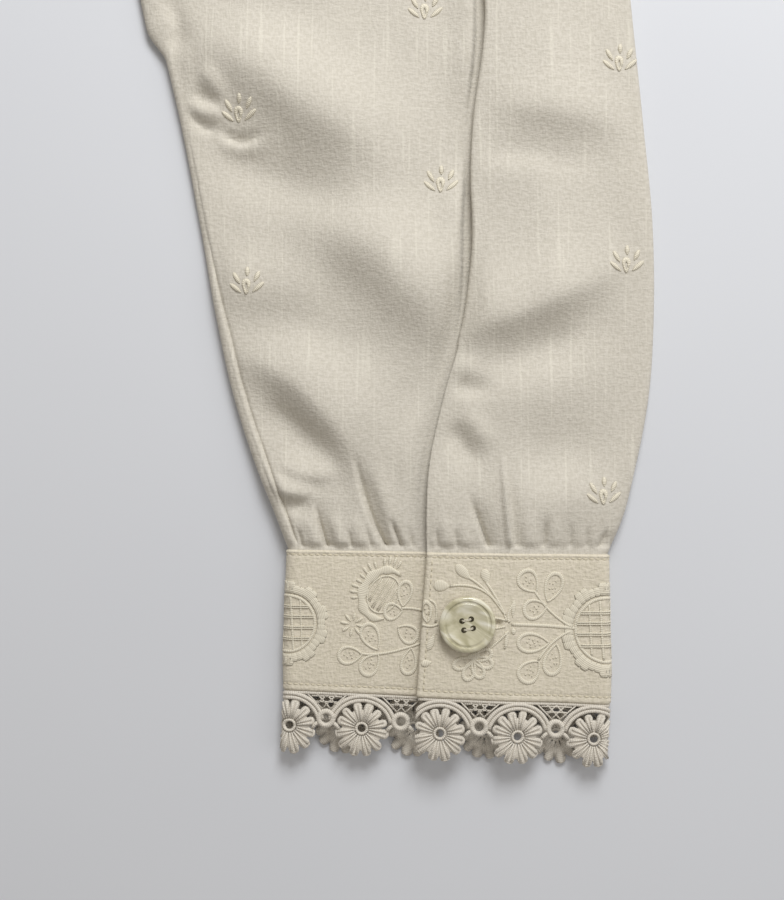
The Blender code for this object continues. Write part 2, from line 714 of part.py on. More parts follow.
def main():
    """Build the shirt, piece by piece, from the body outwards."""
    clear_scene()
    shirt = bpy.data.collections.new(COLLECTION)
    cutters = bpy.data.collections.new("cutters")
    bpy.context.scene.collection.children.link(shirt)
    bpy.context.scene.collection.children.link(cutters)
    build_panel("front", FRONT_NECK_DROP, False, shirt)
    build_panel("back", BACK_NECK_DROP, True, shirt)
    build_neckband("neckband_front", FRONT_NECK_DROP, CLOTH_WALL / 2, shirt)
    build_neckband("neckband_back", BACK_NECK_DROP, SEAM_HEIGHT, shirt)
    for word, side in (("right", 1), ("left", -1)):
        build_sleeve(f"sleeve_{word}", side, shirt)
        build_cuff(f"cuff_{word}", side, shirt)
        build_lace(f"lace_{word}", side, shirt)
        build_button(f"button_{word}", side, shirt, cutters)


main()
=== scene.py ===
"""The looks of an embroidered folk shirt of cream slub linen, laid flat with its back upward.

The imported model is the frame.  Each sleeve, cuff, lace edging, panel and neckband is a thin
shell on the form of its solid, with the creases, gathers, seams, stitches, whitework and lace
that the solids leave out.  Lengths are in millimetres up to the moment when a mesh is made.

A sleeve, its cuff and its lace are laid out in the arm's own plane: "side" runs across it from
the cuff's middle, "up" runs from the cuff to the armhole, and "across" is the distance over the
flattened tube from its underarm fold.
"""

import logging
import math
from dataclasses import dataclass, replace
from enum import Enum
from typing import Callable, Iterable, Sequence

import bmesh
import bpy
import numpy as np
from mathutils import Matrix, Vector


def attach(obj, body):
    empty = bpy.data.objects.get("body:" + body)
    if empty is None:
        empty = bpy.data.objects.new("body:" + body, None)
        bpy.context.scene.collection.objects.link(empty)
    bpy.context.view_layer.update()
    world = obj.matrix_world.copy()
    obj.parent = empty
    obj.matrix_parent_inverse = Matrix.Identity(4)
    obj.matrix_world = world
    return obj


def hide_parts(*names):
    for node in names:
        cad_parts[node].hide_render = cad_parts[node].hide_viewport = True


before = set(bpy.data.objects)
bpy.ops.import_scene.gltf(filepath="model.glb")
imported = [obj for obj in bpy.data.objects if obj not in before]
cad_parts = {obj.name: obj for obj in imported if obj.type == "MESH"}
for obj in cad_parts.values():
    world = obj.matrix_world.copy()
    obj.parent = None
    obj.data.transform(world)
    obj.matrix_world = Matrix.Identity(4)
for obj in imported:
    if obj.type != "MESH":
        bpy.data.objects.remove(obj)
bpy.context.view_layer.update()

LOG = logging.getLogger("shirt")
BODY = "root"
MM = 0.001
GAP = 0.3
TINY = 1e-9
FAR = 1e9
MERGED = 0.000002
Pair = tuple[float, float]
Array = np.ndarray
Numbers = np.ndarray | float
Piece = bpy.types.Object
Material = bpy.types.Material
Socket = bpy.types.NodeSocket
Place = Callable[[Array, Array, Array], Array]

# The garment's measures, as in the part
HEM_HALF = 255.0
UNDERARM = (245.0, 400.0)
SHOULDER = (228.0, 590.0)
NECK_HALF = 120.0
NECK_TOP = 630.0
BACK_NECK_DROP = 30.0
FRONT_NECK_DROP = 150.0
NECKBAND_WIDTH = 10.0
ARMHOLE_BOW = 12.0
SHOULDER_RUN = math.hypot(SHOULDER[0] - NECK_HALF, NECK_TOP - SHOULDER[1])
SHOULDER_LINE = ((SHOULDER[0] - NECK_HALF) / SHOULDER_RUN, (NECK_TOP - SHOULDER[1]) / SHOULDER_RUN)
BODY_MIDDLE = (NECK_TOP + NECKBAND_WIDTH * SHOULDER_LINE[1]) / 2
SEAM_HEIGHT = 1.8
BACK_HEIGHT = 2.8
BACK_EDGE = 45.0
SLEEVE_TURN = math.radians(35.0)
SLEEVE_HEAD = (-128.0, 380.0)
CUFF_HEIGHT = 45.3
BOW_START = 305.0

# The photograph: its size, the pixel at the cuff's middle and top edge, and a pixel's size
PHOTO_SIZE = (784, 900)
PHOTO_ORIGIN = (448.0, 550.0)
PIXEL = 0.3211


class Side(Enum):
    """The arm that a piece belongs to, with the sign that turns x over."""

    RIGHT = 1
    LEFT = -1

    @property
    def word(self) -> str:
        """The side's word in piece names."""
        return self.name.lower()


class Layer(Enum):
    """The two parts of a sleeve's top layer, beside the slit over the cuff."""

    OVER = "over"
    UNDER = "under"


class Cord(Enum):
    """The section of a thread: round, raised on the cloth below it, or raised with few sides."""

    ROUND = "round"
    RAISED = "raised"
    LIGHT = "light"


def smooth(value: Numbers) -> Array:
    """Ease numbers from 0 to 1, flat at both ends."""
    value = np.clip(value, 0.0, 1.0)
    return value * value * (3.0 - 2.0 * value)


def bell(away: Numbers, width: Numbers) -> Array:
    """A soft bump of height 1 at no distance."""
    return np.exp(-((np.asarray(away) / width) ** 2))


def plan(x_pixel: float, y_pixel: float) -> Pair:
    """A pixel of the photograph in the arm's plane, as side and up."""
    return ((x_pixel - PHOTO_ORIGIN[0]) * PIXEL, (PHOTO_ORIGIN[1] - y_pixel) * PIXEL)


def ground(side: Numbers, up: Numbers) -> tuple[Numbers, Numbers]:
    """A place in the right arm's plane, as x and y in the shirt's frame."""
    cos, sin = math.cos(SLEEVE_TURN), math.sin(SLEEVE_TURN)
    out, rise = side - SLEEVE_HEAD[0], up - SLEEVE_HEAD[1]
    return (UNDERARM[0] + cos * out - sin * rise,
            UNDERARM[1] + sin * out + cos * rise - BODY_MIDDLE)


def steps(start: Numbers, end: Numbers, count: int, power: float = 1.0) -> Array:
    """Steps from start towards end, without the last, closer at the start for a high power."""
    return start + (end - start) * (np.arange(count) / count) ** power


def bent(first: Array, middle: Array, last: Array, count: int) -> Array:
    """Points on a soft curve.

    Args:
        first: where it starts.
        middle: the point that it passes halfway.
        last: where it ends.
        count: the number of points.

    Returns:
        The points, from the first to the last.
    """
    pull = 2.0 * middle - (first + last) / 2.0
    t = np.linspace(0.0, 1.0, count)[:, None]
    return (1 - t) ** 2 * first + 2 * t * (1 - t) * pull + t * t * last


def beside(line: Array, x: Array, y: Array) -> tuple[Array, Array, Array]:
    """How points lie beside a line of straight pieces.

    Args:
        line: the line's points.
        x: the points' places sideways.
        y: their places upwards.

    Returns:
        Their distances from the line, the hand that they lie on, above 0 on its left, and
        the share of the line that lies behind them.
    """
    best = np.full(np.shape(x), FAR)
    hand, along = np.zeros(np.shape(x)), np.zeros(np.shape(x))
    for i, (a, b) in enumerate(zip(line, line[1:])):
        run = b - a
        over, up = x - a[0], y - a[1]
        share = np.clip((over * run[0] + up * run[1]) / (run @ run + TINY), 0.0, 1.0)
        away = np.hypot(over - share * run[0], up - share * run[1])
        nearer = away < best
        best = np.where(nearer, away, best)
        hand = np.where(nearer, run[0] * up - run[1] * over, hand)
        along = np.where(nearer, (i + share) / (len(line) - 1), along)
    return best, hand, along


class SoftNoise:
    """Seeded soft noise between -1 and 1, for the unevenness of cloth."""

    CELLS = 64

    def __init__(self, seed: int) -> None:
        self.lattice = np.random.default_rng(seed).uniform(-1.0, 1.0, (self.CELLS, self.CELLS))

    def at(self, a: Array, b: Array) -> Array:
        """The noise at points whose unit is one cell of the lattice."""
        i = np.floor(a).astype(int)
        j = np.floor(b).astype(int)
        s = smooth(a - i)
        t = smooth(b - j)

        def corner(right: int, above: int) -> Array:
            """The lattice's value at one corner of each point's cell."""
            return self.lattice[(i + right) % self.CELLS, (j + above) % self.CELLS]

        low = corner(0, 0) * (1 - s) + corner(1, 0) * s
        high = corner(0, 1) * (1 - s) + corner(1, 1) * s
        return low * (1 - t) + high * t


WRINKLES = SoftNoise(41)


@dataclass(frozen=True)
class Crease:
    """A soft ridge, or a trough where rise is below zero, along a bent line.

    The line starts, passes through bend and ends.  left_width and right_width are its half
    widths on either hand of that direction.  It fades towards both ends, or not at its start
    where rooted is true, as a gather does at its seam.
    """

    start: Pair
    bend: Pair
    end: Pair
    left_width: float
    right_width: float
    rise: float
    rooted: bool = False

    STEPS = 14
    FADE = 0.4

    def height(self, side: Array, up: Array) -> Array:
        """What the crease adds to the height at points.

        Args:
            side: the points' places sideways.
            up: their places upwards.

        Returns:
            The heights, in millimetres.
        """
        points = (np.array(point) for point in (self.start, self.bend, self.end))
        away, hand, along = beside(bent(*points, self.STEPS + 1), side, up)
        fade = smooth((1.0 - along) / self.FADE)
        if not self.rooted:
            fade = fade * smooth(along / self.FADE)
        return self.rise * fade * bell(away, np.where(hand > 0.0, self.left_width, self.right_width))


def seen(start: Pair, bend: Pair, end: Pair, left: float, right: float, rise: float) -> Crease:
    """A crease whose three points are pixels of the photograph."""
    return Crease(plan(*start), plan(*bend), plan(*end), left, right, rise)


def gather(foot: float, middle: Pair, tip: Pair, left: float, right: float, rise: float) -> Crease:
    """A gather that starts at the cuff's seam, its points being pixels of the photograph."""
    seam = PHOTO_ORIGIN[1] + 2.0
    return Crease(plan(foot, seam), plan(*middle), plan(*tip), left, right, rise, True)


def relief(creases: Iterable[Crease], side: Array, up: Array) -> Array:
    """The sum of several creases' heights at points."""
    return sum((crease.height(side, up) for crease in creases), np.zeros(np.shape(side)))


# The sleeve's creases on the part by the underarm fold.  Each row of these tables is a
# crease's start, bend and end, its half widths on the left and the right, and its rise.
UNDER_CREASES = [seen(*row) for row in (
    ((172, -4), (292, 90), (452, 186), 17, 12, 7.4),
    ((196, 138), (286, 182), (404, 216), 8, 9, -2.4),
    ((150, -20), (166, 22), (190, 56), 5, 6, -2.6),
    ((130, 2), (154, 22), (182, 22), 6, 3.0, 3.4),
    ((178, 97), (204, 109), (230, 114), 2.6, 2.0, 1.7),
    ((176, 105), (200, 121), (222, 128), 1.3, 1.9, -1.5),
    ((214, 121), (238, 137), (266, 126), 1.3, 1.7, -2.0),
    ((216, 132), (240, 145), (274, 136), 1.8, 2.6, 1.3),
    ((186, 88), (206, 98), (232, 96), 3, 3, -1.3),
    ((196, 66), (212, 82), (232, 122), 3, 2.6, 1.5),
    ((272, 204), (392, 260), (484, 396), 17, 14, 8.2),
    ((196, 262), (262, 284), (352, 268), 12, 11, 2.6),
    ((216, 318), (300, 330), (400, 372), 8, 10, -1.6),
    ((470, 236), (458, 330), (434, 416), 9, 5, -3.0),
    ((220, 344), (314, 396), (392, 514), 19, 7.5, 6.2),
    ((250, 402), (296, 428), (340, 474), 4, 7, -1.8),
    ((268, 452), (306, 474), (344, 468), 5, 2.4, 1.8),
    ((252, 462), (282, 490), (322, 488), 4.5, 2.0, 2.4),
    ((266, 500), (292, 507), (318, 500), 2.4, 3.0, -1.7),
    ((444, 400), (420, 440), (404, 500), 6, 6, 1.6),
)]

# Its rise beside the slit's open stretches, where the overlap stands off it
UNDER_LIPS = [seen(*row) for row in (
    ((464, 150), (459, 232), (462, 316), 5, 7, 3.0),
    ((472, -60), (470, 22), (467, 118), 5, 7, 3.0),
)]

# Its creases on the part beyond the slit
OVER_CREASES = [seen(*row) for row in (
    ((476, 104), (556, 106), (650, 130), 12, 7, 3.0),
    ((474, 152), (540, 154), (620, 164), 5, 6, -0.9),
    ((474, 176), (520, 166), (560, 172), 4, 7, 0.8),
    ((484, 30), (560, 44), (638, 50), 12, 11, 1.0),
    ((470, 178), (467, 226), (467, 284), 2.6, 4.5, 1.8),
    ((482, -20), (477, 36), (473, 92), 2.6, 4.5, 1.8),
    ((430, 326), (532, 304), (646, 240), 14, 7, 5.2),
    ((458, 372), (540, 352), (628, 306), 6, 9, -2.0),
    ((446, 412), (520, 390), (640, 356), 9, 10, 1.6),
    ((448, 378), (470, 388), (500, 382), 3, 3, -1.7),
    ((446, 356), (462, 366), (486, 362), 3, 3, 1.0),
    ((444, 420), (462, 444), (484, 474), 3.5, 5, -2.1),
    ((456, 412), (478, 428), (492, 456), 3.5, 3, 1.1),
    ((512, 470), (560, 452), (634, 430), 9, 8, -1.4),
    ((520, 520), (566, 500), (622, 486), 8, 7, 1.2),
)]

# The gathers at the cuff, each with its pixel column at the seam in place of a start
UNDER_GATHERS = [gather(*row) for row in (
    (303, (300, 540), (297, 526), 0.6, 0.9, -0.7),
    (317, (311, 532), (303, 512), 2.2, 2.0, 0.5),
    (329, (322, 534), (313, 498), 0.7, 0.8, -1.7),
    (331, (324, 530), (314, 494), 0.8, 3.0, -1.0),
    (341, (336, 532), (328, 508), 2.0, 2.2, 0.7),
    (352, (350, 541), (347, 528), 0.6, 0.9, -0.8),
    (363, (359, 534), (352, 512), 1.8, 1.8, 0.5),
    (372, (369, 541), (365, 526), 0.6, 0.9, -0.7),
    (390, (369, 512), (351, 440), 0.7, 0.9, -2.0),
    (393, (373, 512), (354, 438), 1.0, 3.8, -1.6),
    (398, (384, 508), (368, 452), 2.6, 3.0, 0.8),
    (402, (397, 536), (389, 516), 0.7, 0.8, -1.6),
    (413, (411, 540), (408, 524), 0.6, 0.9, -0.7),
)]
OVER_GATHERS = [gather(*row) for row in (
    (438, (437, 540), (436, 526), 0.6, 0.9, -0.7),
    (447, (446, 534), (443, 510), 1.8, 2.0, 0.5),
    (457, (456, 541), (454, 528), 0.6, 0.9, -0.7),
    (466, (465, 536), (461, 512), 1.6, 1.8, 0.4),
    (489, (480, 526), (467, 492), 0.7, 0.9, -1.8),
    (491, (482, 524), (469, 488), 0.9, 2.6, -1.0),
    (511, (506, 508), (501, 440), 0.7, 0.8, 1.3),
    (517, (512, 520), (508, 470), 0.8, 2.6, -0.8),
    (530, (529, 534), (527, 506), 2.0, 2.2, 0.6),
    (543, (544, 536), (546, 512), 0.6, 1.1, -1.1),
    (555, (555, 536), (556, 510), 1.8, 2.0, 0.5),
    (571, (571, 540), (571, 520), 0.6, 0.9, -0.8),
    (586, (587, 540), (588, 524), 0.6, 0.9, -0.7),
    (600, (603, 541), (608, 528), 0.7, 1.3, -1.4),
)]

# Creases above the photographed stretch, in the arm's plane
UPPER_CREASES = [Crease(*row) for row in (
    ((-98, 262), (-70, 236), (-36, 222), 13, 10, 4.6),
    ((-100, 302), (-70, 298), (-42, 284), 11, 10, -2.2),
    ((-94, 328), (-70, 318), (-46, 318), 12, 10, 3.2),
    ((-90, 226), (-68, 206), (-42, 196), 9, 9, -2.4),
    ((6, 330), (24, 296), (32, 250), 10, 9, 3.2),
    ((-16, 378), (-14, 350), (4, 318), 9, 8, 2),
    ((20, 224), (34, 236), (50, 240), 9, 9, 2.4),
    ((-84, 196), (-56, 186), (-28, 192), 10, 9, 2.6),
)]

# The back panel's creases, from the centre line and the hem
BACK_CREASES = [Crease(*row) for row in (
    ((222, 398), (150, 356), (78, 320), 16, 13, 3.6),
    ((-218, 394), (-140, 352), (-86, 298), 13, 17, 3.8),
    ((204, 356), (140, 318), (92, 260), 13, 13, -1.9),
    ((-198, 346), (-150, 300), (-108, 236), 13, 13, -1.9),
    ((20, 572), (40, 450), (32, 326), 16, 19, 2.4),
    ((-60, 530), (-60, 390), (-38, 246), 18, 15, 2.3),
    ((116, 236), (136, 130), (142, 26), 15, 19, 2.7),
    ((-8, 304), (-24, 160), (-18, 20), 18, 16, 2.6),
    ((-148, 226), (-152, 120), (-170, 18), 17, 15, 2.7),
    ((64, 256), (80, 140), (74, 16), 13, 13, -1.8),
    ((-92, 216), (-84, 110), (-98, 16), 13, 13, -1.8),
    ((158, 530), (116, 490), (94, 436), 14, 12, 2.4),
    ((-168, 530), (-122, 494), (-110, 446), 12, 14, 2.4),
    ((190, 270), (196, 170), (206, 60), 14, 12, 1.8),
    ((-204, 280), (-214, 180), (-206, 70), 12, 14, 1.8),
)]


@dataclass(frozen=True)
class Section:
    """One section of a flattened tube.  Its fields are numbers, or arrays for several sections.

    up and right_up are the heights of the underarm and outer folds above the cuff, left and
    right their places beside the cuff's middle.  fold is the distance of the pleat's edge from
    the underarm fold and overlap the pleat's width.  single, under and over are the middle
    heights of the top layer alone, below the pleat and above it.
    """

    up: Array
    left: Array
    right: Array
    right_up: Array
    fold: Array
    overlap: Array
    single: Array
    under: Array
    over: Array

    @property
    def width(self) -> Array:
        """The flat width of the tube."""
        return np.hypot(self.right - self.left, self.right_up - self.up)

    def plan_at(self, across: Array) -> tuple[Array, Array]:
        """Side and up of the points that lie across the section."""
        share = across / self.width
        return (self.left + (self.right - self.left) * share,
                self.up + (self.right_up - self.up) * share)

    def lowered(self, depth: float) -> "Section":
        """The section moved off its own line, towards the hand."""
        over = (self.right_up - self.up) / self.width * depth
        down = (self.right - self.left) / self.width * depth
        return replace(self, up=self.up - down, right_up=self.right_up - down,
                       left=self.left + over, right=self.right + over)


class SectionTable:
    """Sections of a sleeve or cuff, read as a smooth curve through the table's rows."""

    def __init__(self, rows: Sequence[Sequence[float]]) -> None:
        self.values = np.array(sorted(rows), float)
        self.ups = self.values[:, 0]
        self.slopes = np.gradient(self.values, self.ups, axis=0)

    def at(self, up: Numbers) -> Section:
        """The sections at heights above the cuff, with a last axis of one added to arrays."""
        up = np.asarray(up, float)
        i = np.clip(np.searchsorted(self.ups, up, side="right") - 1, 0, len(self.ups) - 2)
        step = (self.ups[i + 1] - self.ups[i])[..., None]
        t = (up - self.ups[i])[..., None] / step
        end = t * t * (3.0 - 2.0 * t)
        mixed = self.values[i] * (1.0 - end) + self.values[i + 1] * end
        mixed = mixed + self.slopes[i] * (t * (1.0 - t) ** 2 * step)
        mixed = mixed + self.slopes[i + 1] * (t * t * (t - 1.0) * step)
        return Section(*np.moveaxis(mixed, -1, 0))


# Each row: up, left, right, right_up, fold, overlap, single, under, over
CUFF_TOP = (0.0, -51.4, 51.6, -1.6, 43.7, 27.0, 5.3, 5.3, 7.8)
CUFF_BOTTOM = (-CUFF_HEIGHT, -52.7, 52.3, -50.1, 41.7, 27.6, 5.3, 5.3, 7.8)
CUFF_TABLE = SectionTable((CUFF_TOP, CUFF_BOTTOM))
SLEEVE_TABLE = SectionTable((
    CUFF_TOP,
    (10, -55.2, 56.2, 9.2, 47.4, 27, 5.1, 5, 7.6),
    (26, -61.6, 60.6, 25.7, 54.6, 26, 4.7, 4.2, 7.1),
    (50, -69.3, 65.2, 50, 67.4, 25, 4.1, 3, 6.2),
    (75, -74.8, 66.8, 75, 79.9, 24, 3.9, 2.4, 5.6),
    (106, -80.3, 66.4, 106, 86.8, 23, 3.8, 2.4, 5.6),
    (138, -86.4, 63.4, 138, 94.4, 22, 3.8, 2.4, 5.6),
    (177, -95.4, 59.4, 177, 105.9, 20, 3.8, 2.4, 5.6),
    (215, -102, 53.5, 236, 106, 14, 3.8, 2.4, 5.6),
    (245, -106.5, 46, 288, 105, 7, 3.8, 2.4, 5.5),
    (262, -109.5, 40.5, 318, 104, 3.5, 3.7, 2.4, 5.4),
    (280, -112, 34, 350, 103, -3, 3.6, 2.4, 5.2),
    (305, -116, 24, 395, 102, -8, 3.4, 2.3, 4.6),
    (342, -122, 3, 465, 102, -14, 2.7, 2.1, 3.2),
    (380, -128, -33.2, 545.2, 102, -20, SEAM_HEIGHT, SEAM_HEIGHT, SEAM_HEIGHT),
))


@dataclass(frozen=True)
class ArmPlane:
    """Where one arm's plane lies on the ground."""

    side: Side

    def place(self, section: Section, across: Array, height: Array) -> Array:
        """Points of a sleeve, cuff or lace in the shirt's frame.

        Args:
            section: the sections that the points lie in.
            across: their distances over the tube from its underarm fold.
            height: their heights.

        Returns:
            The points in metres, with a last axis of three.
        """
        side, up = section.plan_at(across)
        share = across / section.width
        head = smooth((section.up - BOW_START) / (SLEEVE_HEAD[1] - BOW_START))
        bow = ARMHOLE_BOW * head * 4.0 * share * (1.0 - share)
        side = side - bow * (section.right_up - section.up) / section.width
        up = up + bow * (section.right - section.left) / section.width
        x, y = ground(side, up)
        x, y, height = np.broadcast_arrays(x + GAP * head, y, height)
        return np.stack((self.side.value * x, y, height), axis=-1) * MM

    def across_line(self, section: Section) -> Array:
        """The direction across a section, in the shirt's frame."""
        ends = self.place(section, np.array([0.0, 1.0]), np.zeros(2))
        return (ends[1] - ends[0]) / np.linalg.norm(ends[1] - ends[0])


class BandSurface:
    """The middle surface of a band round the arm: a cuff, or the lace below it.

    A point on it has s, the length round the band from the overlap's free edge, v, the depth
    below the band's upper edge, and a lift outwards.
    """

    OVER_STEPS = 60
    TURN_STEPS = 10
    BELOW_STEPS = 30
    HIDDEN_STEPS = 20
    REACH = 0.4
    NIP = 0.9
    MARGIN = 3.0
    SLOPE = 20.0

    def __init__(self, plane: ArmPlane, top: Section, bottom: Section, base: float,
                 height: float) -> None:
        self.plane = plane
        self.height = height
        self.sections = (top, bottom)
        self.lines = [self.outline(section, base) for section in self.sections]
        pieces = np.hypot(*np.diff(self.lines[0], axis=0).T)
        self.lengths = np.concatenate(([0.0], np.cumsum(pieces)))
        self.length = float(self.lengths[-1])
        top_line = self.lines[0]
        self.out_fold = float(self.lengths[np.argmax(top_line[:, 0])])
        self.arm_fold = float(self.lengths[np.argmin(top_line[:, 0])])

    def outline(self, section: Section, base: float) -> Array:
        """The band's middle line in one section, as across and height."""
        width = float(section.width)
        radius = (float(section.single) - base) / 2.0
        split = float(section.fold) + float(section.overlap)
        over_start = float(section.fold) + self.NIP
        under_split = float(section.fold) - self.MARGIN
        overs = steps(over_start, width - radius, self.OVER_STEPS)
        falls = smooth((overs - split) / self.SLOPE)
        over = section.over - (section.over - section.single) * falls
        turn = np.pi * np.arange(self.TURN_STEPS) / self.TURN_STEPS
        belows = steps(width - radius, radius, self.BELOW_STEPS)
        unders = steps(radius, under_split, self.OVER_STEPS)
        rises = smooth((unders - under_split + self.SLOPE) / self.SLOPE)
        under = section.single + (section.under - section.single) * rises
        hidden = np.linspace(under_split, split - self.NIP, self.HIDDEN_STEPS)
        sine, cosine = radius * np.sin(turn), radius * np.cos(turn)
        parts = ((overs, over), (width - radius + sine, base + radius + cosine),
                 (belows, np.full(len(belows), base)), (radius - sine, base + radius - cosine),
                 (unders, under), (hidden, np.full(len(hidden), float(section.under))))
        return np.concatenate([np.column_stack(part) for part in parts])

    def at(self, s: Array, v: Array, lift: Array) -> Array:
        """Points of the band in the shirt's frame, in metres."""
        share = (v / self.height)[..., None]
        edges = []
        for section, line in zip(self.sections, self.lines):
            across = np.interp(s, self.lengths, line[:, 0])
            height = np.interp(s, self.lengths, line[:, 1])
            edges.append(self.plane.place(section, across, height))
        middle = edges[0] * (1.0 - share) + edges[1] * share
        over, rise = (np.interp(s + self.REACH, self.lengths, column)
                      - np.interp(s - self.REACH, self.lengths, column)
                      for column in self.lines[0].T)
        size = np.hypot(over, rise) + TINY
        sideways = self.plane.across_line(self.sections[0])
        upward = np.array((0.0, 0.0, 1.0))
        outward = -(rise / size)[..., None] * sideways + (over / size)[..., None] * upward
        return middle + outward * (lift * MM)[..., None]

    def from_photo(self, x_pixel: float, y_pixel: float, layer: Layer) -> Pair:
        """The place on the band that a pixel of the photograph shows, as s and v."""
        top, bottom = self.sections
        side, up = plan(x_pixel, y_pixel)
        share = (side - float(top.left)) / float(top.right - top.left)
        across = share * float(top.width)
        if layer is Layer.OVER:
            s = across - float(top.fold) - self.NIP
        else:
            s = self.lengths[-self.HIDDEN_STEPS] - (float(top.fold) - self.MARGIN - across)
        upper = float(top.up + (top.right_up - top.up) * share)
        lower = float(bottom.up + (bottom.right_up - bottom.up) * share)
        return (s, (upper - up) / (upper - lower) * self.height)


class SleeveSurface:
    """The middle surface of a sleeve's cloth."""

    CLOTH = 0.5
    EDGE_FADE = 7.0
    OVER_FADE = 7.0
    UNDER_FADE = 8.0
    MARGIN = 3.0
    SLOPE = 20.0
    NIP = 0.9
    NIP_FULL = 3.6
    PUFF = 1.5
    ROLL = 1.1
    SEAM_IN = (4.2, 1.7)
    SEAM_UP = (50.0, 65.0)
    SEAM_ENDS = (152.0, 36.0)
    BULGE = 4.0
    BULGE_FROM = (158.0, 10.0)
    BULGE_TO = (195.0, 30.0)
    ROOT = 0.08
    ROOT_START = 0.3
    ROOT_UP = 2.8
    DRAWN_UP = 1.1
    GATHERED = 1.3
    OPEN = 1.6
    DROP = 2.0
    DEEP = 2.6
    FLOOR = 1.2
    TUCK = 2.0
    TUCK_UP = 12.0
    OPEN_AT = ((101.0, 15.0), (182.0, 32.0))
    PLEAT_WIDTH = 4.0
    PUFF_UP = 13.0
    ROLL_WIDTH = 2.2
    NEAR_FOLD = 2.5
    LOWEST = SEAM_HEIGHT - 0.5

    def __init__(self, plane: ArmPlane) -> None:
        self.plane = plane

    def section(self, up: Array) -> Section:
        """Sections at heights above the cuff, also for the cloth inside the cuff's seam."""
        inside = np.minimum(up, 0.0)
        found = SLEEVE_TABLE.at(np.maximum(up, 0.0))
        return replace(found, up=found.up + inside, right_up=found.right_up + inside)

    @staticmethod
    def wrinkles(side: Array, up: Array) -> Array:
        """The cloth's unevenness: broad, narrow, and fine near the cuff."""
        return (0.34 * WRINKLES.at(side / 17.0 + up / 60.0, up / 21.0)
                + 0.16 * WRINKLES.at(side / 6.5 + 9.0, up / 12.0 + 5.0)
                + 0.10 * WRINKLES.at(side / 3.1 + 3.0, up / 7.0) * smooth(1.0 - up / 60.0))

    def seam(self, across: Array, up: Array) -> Array:
        """The ridge and the stitched groove of the seam beside the underarm fold."""
        narrower = smooth((up - self.SEAM_UP[0]) / self.SEAM_UP[1])
        line = self.SEAM_IN[0] + (self.SEAM_IN[1] - self.SEAM_IN[0]) * narrower
        away = across - line - 0.8 * WRINKLES.at(up / 26.0, up * 0.0 + 2.0)
        ridge = 0.5 * bell(away + 1.2, 0.9) - 0.8 * bell(away, 0.55)
        return ridge * smooth(up / 4.0) * smooth((self.SEAM_ENDS[0] - up) / self.SEAM_ENDS[1])

    def height(self, section: Section, across: Array, layer: Layer) -> Array:
        """The height of the top layer's middle.

        Args:
            section: the sections that the points lie in.
            across: their distances from the underarm fold.
            layer: the part of the top layer.

        Returns:
            The heights in millimetres.
        """
        side, up = section.plan_at(across)
        inward = section.width - across
        pleat = np.maximum(section.overlap, 0.0)
        edges = smooth(across / self.EDGE_FADE) * smooth(inward / self.EDGE_FADE)
        shape = relief(UPPER_CREASES, side, up)
        puff = self.PUFF * bell(up - self.PUFF_UP, self.PUFF_UP) * edges
        if layer is Layer.OVER:
            split = section.fold + np.maximum(pleat, self.MARGIN)
            falls = smooth((across - split) / self.SLOPE)
            level = section.over - (section.over - section.single) * falls
            gathers = relief(OVER_GATHERS, side, up)
            from_edge = across - section.fold
            clear = 0.35 + 0.65 * smooth(from_edge / self.OVER_FADE)
            roll = self.ROLL * np.exp(-np.maximum(from_edge, 0.0) / self.ROLL_WIDTH)
            shape = (shape + relief(OVER_CREASES, side, up)) * clear
            shape = shape - roll * smooth(pleat / self.PLEAT_WIDTH)
        else:
            under_split = section.fold + np.minimum(section.overlap, 0.0) - self.MARGIN
            rises = smooth((across - under_split + self.SLOPE) / self.SLOPE)
            level = section.single + (section.under - section.single) * rises
            gathers = relief(UNDER_GATHERS, side, up)
            clear = smooth((section.fold - across) / self.UNDER_FADE)
            shape = shape + relief(UNDER_CREASES, side, up)
            shape = np.where(shape > 0.0, shape * clear, shape) + relief(UNDER_LIPS, side, up)
            puff = puff * clear + self.seam(across, up)
        near_fold = smooth(across / self.NEAR_FOLD) * smooth(inward / self.NEAR_FOLD)
        gathers = gathers * near_fold * self.GATHERED
        rooted = self.ROOT + (1.0 - self.ROOT) * smooth((up - self.ROOT_START) / self.ROOT_UP)
        drawn = smooth((up - self.ROOT_START) / self.DRAWN_UP)
        loose = (shape + self.wrinkles(side, up)) * edges + puff + np.maximum(gathers, 0.0)
        total = level + loose * rooted + np.minimum(gathers, 0.0) * drawn
        return np.maximum(total, self.LOWEST)

    def at_plan(self, layer: Layer, off: float) -> Place:
        """A function that places points off the top layer's middle by side, up and lift."""

        def place(side: Array, up: Array, lift: Array) -> Array:
            """Points of the top layer in the shirt's frame, in metres."""
            side, up, lift = (np.asarray(x, float)[:, None] for x in (side, up, lift))
            row = np.array(up, float)
            for _ in range(20):
                section = self.section(row)
                share = (side - section.left) / (section.right - section.left)
                row = row + 0.6 * (up - section.up - (section.right_up - section.up) * share)
            section = self.section(row)
            across = (side - section.left) / (section.right - section.left) * section.width
            height = self.height(section, across, layer) + off + lift
            return self.plane.place(section, across, height)[:, 0]

        return place


